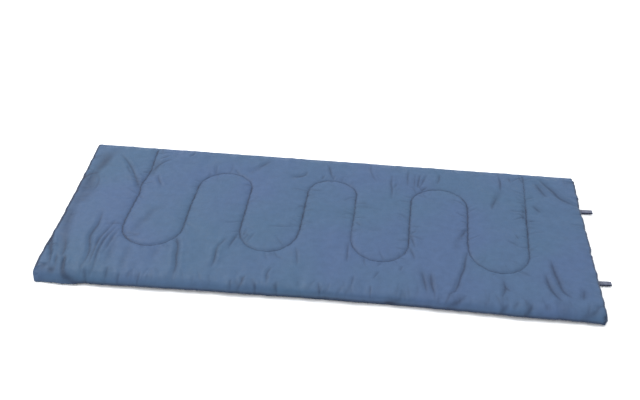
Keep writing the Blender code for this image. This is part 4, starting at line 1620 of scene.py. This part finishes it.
def end_tail():
    """The pale tail beyond the zip's end fitting, sticking out at the foot."""
    low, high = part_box("zip_end_box")
    past_foot = np.linspace(*TAIL_SPAN, TAIL_POINTS)
    swing, wave = TAIL_WAVE
    y = (low.y + high.y) / 2 + TAIL_ASIDE + swing * np.sin((past_foot - TAIL_SPAN[0]) * wave)
    z = MIDDLE - TAIL_BELOW - TAIL_DROOP * smooth(0, TAIL_SPAN[1], past_foot)
    line = np.stack([HALF_LENGTH + past_foot, y, z], 1)
    top = np.concatenate([TAIL_SECTION, TAIL_SECTION[-2::-1] * (-1, 1)])
    section = np.concatenate([top, top[::-1] * (1, -1)])
    narrow = 1 - TAIL_TAPER * smooth(TAIL_NARROWS, TAIL_SPAN[1], past_foot)
    sections = section[None] * np.stack([narrow, np.ones_like(narrow)], 1)[:, None]
    sideways = np.tile((0.0, 1.0, 0.0), (len(line), 1))
    made = swept("zip_tail", line, sideways, sections, END_FITTING)
    return ride_as(made, "lower_quilt", "zip_end_fitting")


def finish_node(name, material, bevel):
    """Gives a CAD node its material and softens its edges."""
    node = frame["nodes"][name]
    node.data.materials.clear()
    node.data.materials.append(material)
    rounding = node.modifiers.new("soft_edges", "BEVEL")
    rounding.width = bevel
    rounding.segments = 2
    rounding.limit_method = "ANGLE"


def lower_shell_points(plan, buckle):
    """The lower shell's cloth, flat on the ground and a little buckled."""
    points = cloth_points(plan, LOWER_EDGES, -LOWER_CROWN[0], -LOWER_CROWN[1])
    reach_over_near_side(points)
    points += uneven(plan)
    points[..., 2] += LOWER_BUCKLE * abs(buckle)
    points[..., 2] = np.maximum(points[..., 2], GROUND)
    return points


def lining_points(plan, sign, buckle):
    """A quilt's lining, which buckles a little with its shell."""
    edges = {side: facing(section, sign) for side, section in LINING_EDGES.items()}
    points = cloth_points(plan, edges, sign * LINING_CROWN[0], sign * LINING_CROWN[1])
    points[..., 2] += buckle
    return splayed(points) if sign > 0 else points


def quilt_stitches(side, sign, shell, shell_plan, lining, lining_plan):
    """The quilting seam's stitches on both faces of a quilt, and those of its head hem."""
    quilting = seam_path(STITCH_PITCH)
    hem_y = np.arange(HEM_MARGIN, WIDTH - HEM_MARGIN, STITCH_PITCH) - HALF_WIDTH
    hem = np.stack([np.full_like(hem_y, HEM_INSET - HALF_LENGTH), hem_y], 1)
    outer = stitches_on(f"{side}_outer_stitches", shell, shell_plan, quilting, sign, THREAD)
    inner = stitches_on(f"{side}_inner_stitches", lining, lining_plan, quilting, -sign, THREAD)
    hemmed = stitches_on(f"{side}_hem_stitches", shell, shell_plan, hem, sign, THREAD)
    body = f"{side}_quilt"
    ride_as(outer, body, "thread")
    ride_as(inner, body, "thread", f"{side}_quilting_thread")
    ride_as(hemmed, body, "thread")
    return outer, inner, hemmed


def quilt(side, sign, shell, shell_plan, creases, coarse, lining):
    """One quilt: shell, lining and batting, with the stitches, zip and binding on them."""
    body = f"{side}_quilt"
    step = 2 if shell_plan is not coarse else 1
    outside = cloth_object(f"{side}_shell_cloth", shell, shell_plan, sign > 0, SHELL_CLOTH, creases)
    ride_as(outside, body, "shell_fabric", f"{side}_shell")
    inside = cloth_object(f"{side}_lining_cloth", lining, coarse, sign < 0, LINING_CLOTH)
    ride_as(inside, body, "lining_fabric", f"{side}_lining")
    pad = batting_object(side, sign, coarse, shell[::step, ::step], lining, WADDING)
    ride_as(pad, body, "batting", f"{side}_batting")

    outer, inner, hemmed = quilt_stitches(side, sign, shell, shell_plan, lining, coarse)
    on_lining = [inner, zip_tape(side, sign), zip_coil(side, sign), head_binding(side, sign)]
    finish_node(f"{side}_zip_top_stop", METAL, FINE_BEVEL)


def main():
    """Builds the quilts with the fold between them, then the metal, the fittings and the loops."""
    coarse, fine = plan_grid(1), plan_grid(2)
    shell, creases, buckle = buckled_upper_shell(coarse, fine)
    turned = turned_round(buckle, coarse)
    inner = np.clip(coarse["inset"] / ROLL_INSET, 0, 1) * (1 - faded(coarse["from_seam"], INNER_REACH))
    lower_shell = lower_shell_points(coarse, turned * inner)
    upper_lining = lining_points(coarse, 1, limited(LINING_BUCKLE * buckle, *LINING_CAPS) * inner)
    lower_lining = lining_points(coarse, -1, -limited(LINING_BUCKLE * turned, *LINING_CAPS) * inner)
    fold = fold_strip()
    quilt("lower", -1, lower_shell, coarse, 0, coarse, lower_lining)
    quilt("upper", 1, shell, fine, creases, coarse, upper_lining)

    finish_node("zip_slider_body", METAL, FINE_BEVEL)
    finish_node("zip_pull", METAL, PULL_BEVEL)
    finish_node("zip_end_box", END_FITTING, PLASTIC_BEVEL)
    finish_node("zip_end_pin", END_FITTING, PLASTIC_BEVEL)
    for side in ("near", "far"):
        hanging_loop(side)
    end_tail()


# Floor, light and camera

CAMERA_PLACE = (0.112, -2.391, 2.023)
CAMERA_HEADING = math.radians(3.33)
CAMERA_DROP = math.radians(38.38)
CAMERA_ROLL = math.radians(2.20)
CAMERA_LENS = 47.68
SENSOR_WIDTH = 36
FLOOR_HALF = 30
FLOOR_GREY = 0.97
SKY_COLOUR = (0.95, 0.97, 1.0, 1)
SKY_STRENGTH = 1.20
# Soft lights: place, size across and power in watts
KEY_LIGHT = ((-3.4, 2.4, 5.4), 3.4, 245)
FILL_LIGHT = ((1.4, 0.9, 4.4), 3.0, 60)


def add_floor():
    """A plain pale floor, far wider than the view."""
    made, _, shader, _ = shader_material("plain_floor", 0.9, specular=0.1)
    shader.inputs["Base Color"].default_value = (FLOOR_GREY, FLOOR_GREY, FLOOR_GREY, 1)
    signs = [(-1, -1), (1, -1), (1, 1), (-1, 1)]
    corners = [(x * FLOOR_HALF, y * FLOOR_HALF, 0) for x, y in signs]
    add_mesh("floor", corners, [(0, 1, 2, 3)], made)


def add_light(name, place, size, power):
    """A round soft light that faces the bag's middle."""
    light = bpy.data.lights.new(name, "AREA")
    light.shape = "DISK"
    light.size = size
    light.energy = power
    made = bpy.data.objects.new(name, light)
    made.location = place
    made.rotation_euler = (-Vector(place)).to_track_quat("-Z", "Y").to_euler()
    bpy.context.scene.collection.objects.link(made)


def add_lights():
    """An even pale sky with two soft lights."""
    world = bpy.data.worlds.new("studio")
    world.use_nodes = True
    background = world.node_tree.nodes["Background"]
    background.inputs["Color"].default_value = SKY_COLOUR
    background.inputs["Strength"].default_value = SKY_STRENGTH
    bpy.context.scene.world = world
    add_light("key", *KEY_LIGHT)
    add_light("fill", *FILL_LIGHT)
    bpy.context.scene.view_settings.view_transform = "Standard"


def add_camera():
    """The camera, tilted down towards the bag and rolled a little."""
    camera = bpy.data.cameras.new("camera")
    camera.lens = CAMERA_LENS
    camera.sensor_width = SENSOR_WIDTH
    made = bpy.data.objects.new("camera", camera)
    turn = Matrix.Rotation(CAMERA_HEADING, 4, "Z")
    tilt = Matrix.Rotation(math.pi / 2 - CAMERA_DROP, 4, "X")
    roll = Matrix.Rotation(CAMERA_ROLL, 4, "Z")
    made.matrix_world = Matrix.Translation(CAMERA_PLACE) @ turn @ tilt @ roll
    bpy.context.scene.collection.objects.link(made)
    bpy.context.scene.camera = made


add_camera()
add_floor()
add_lights()
main()
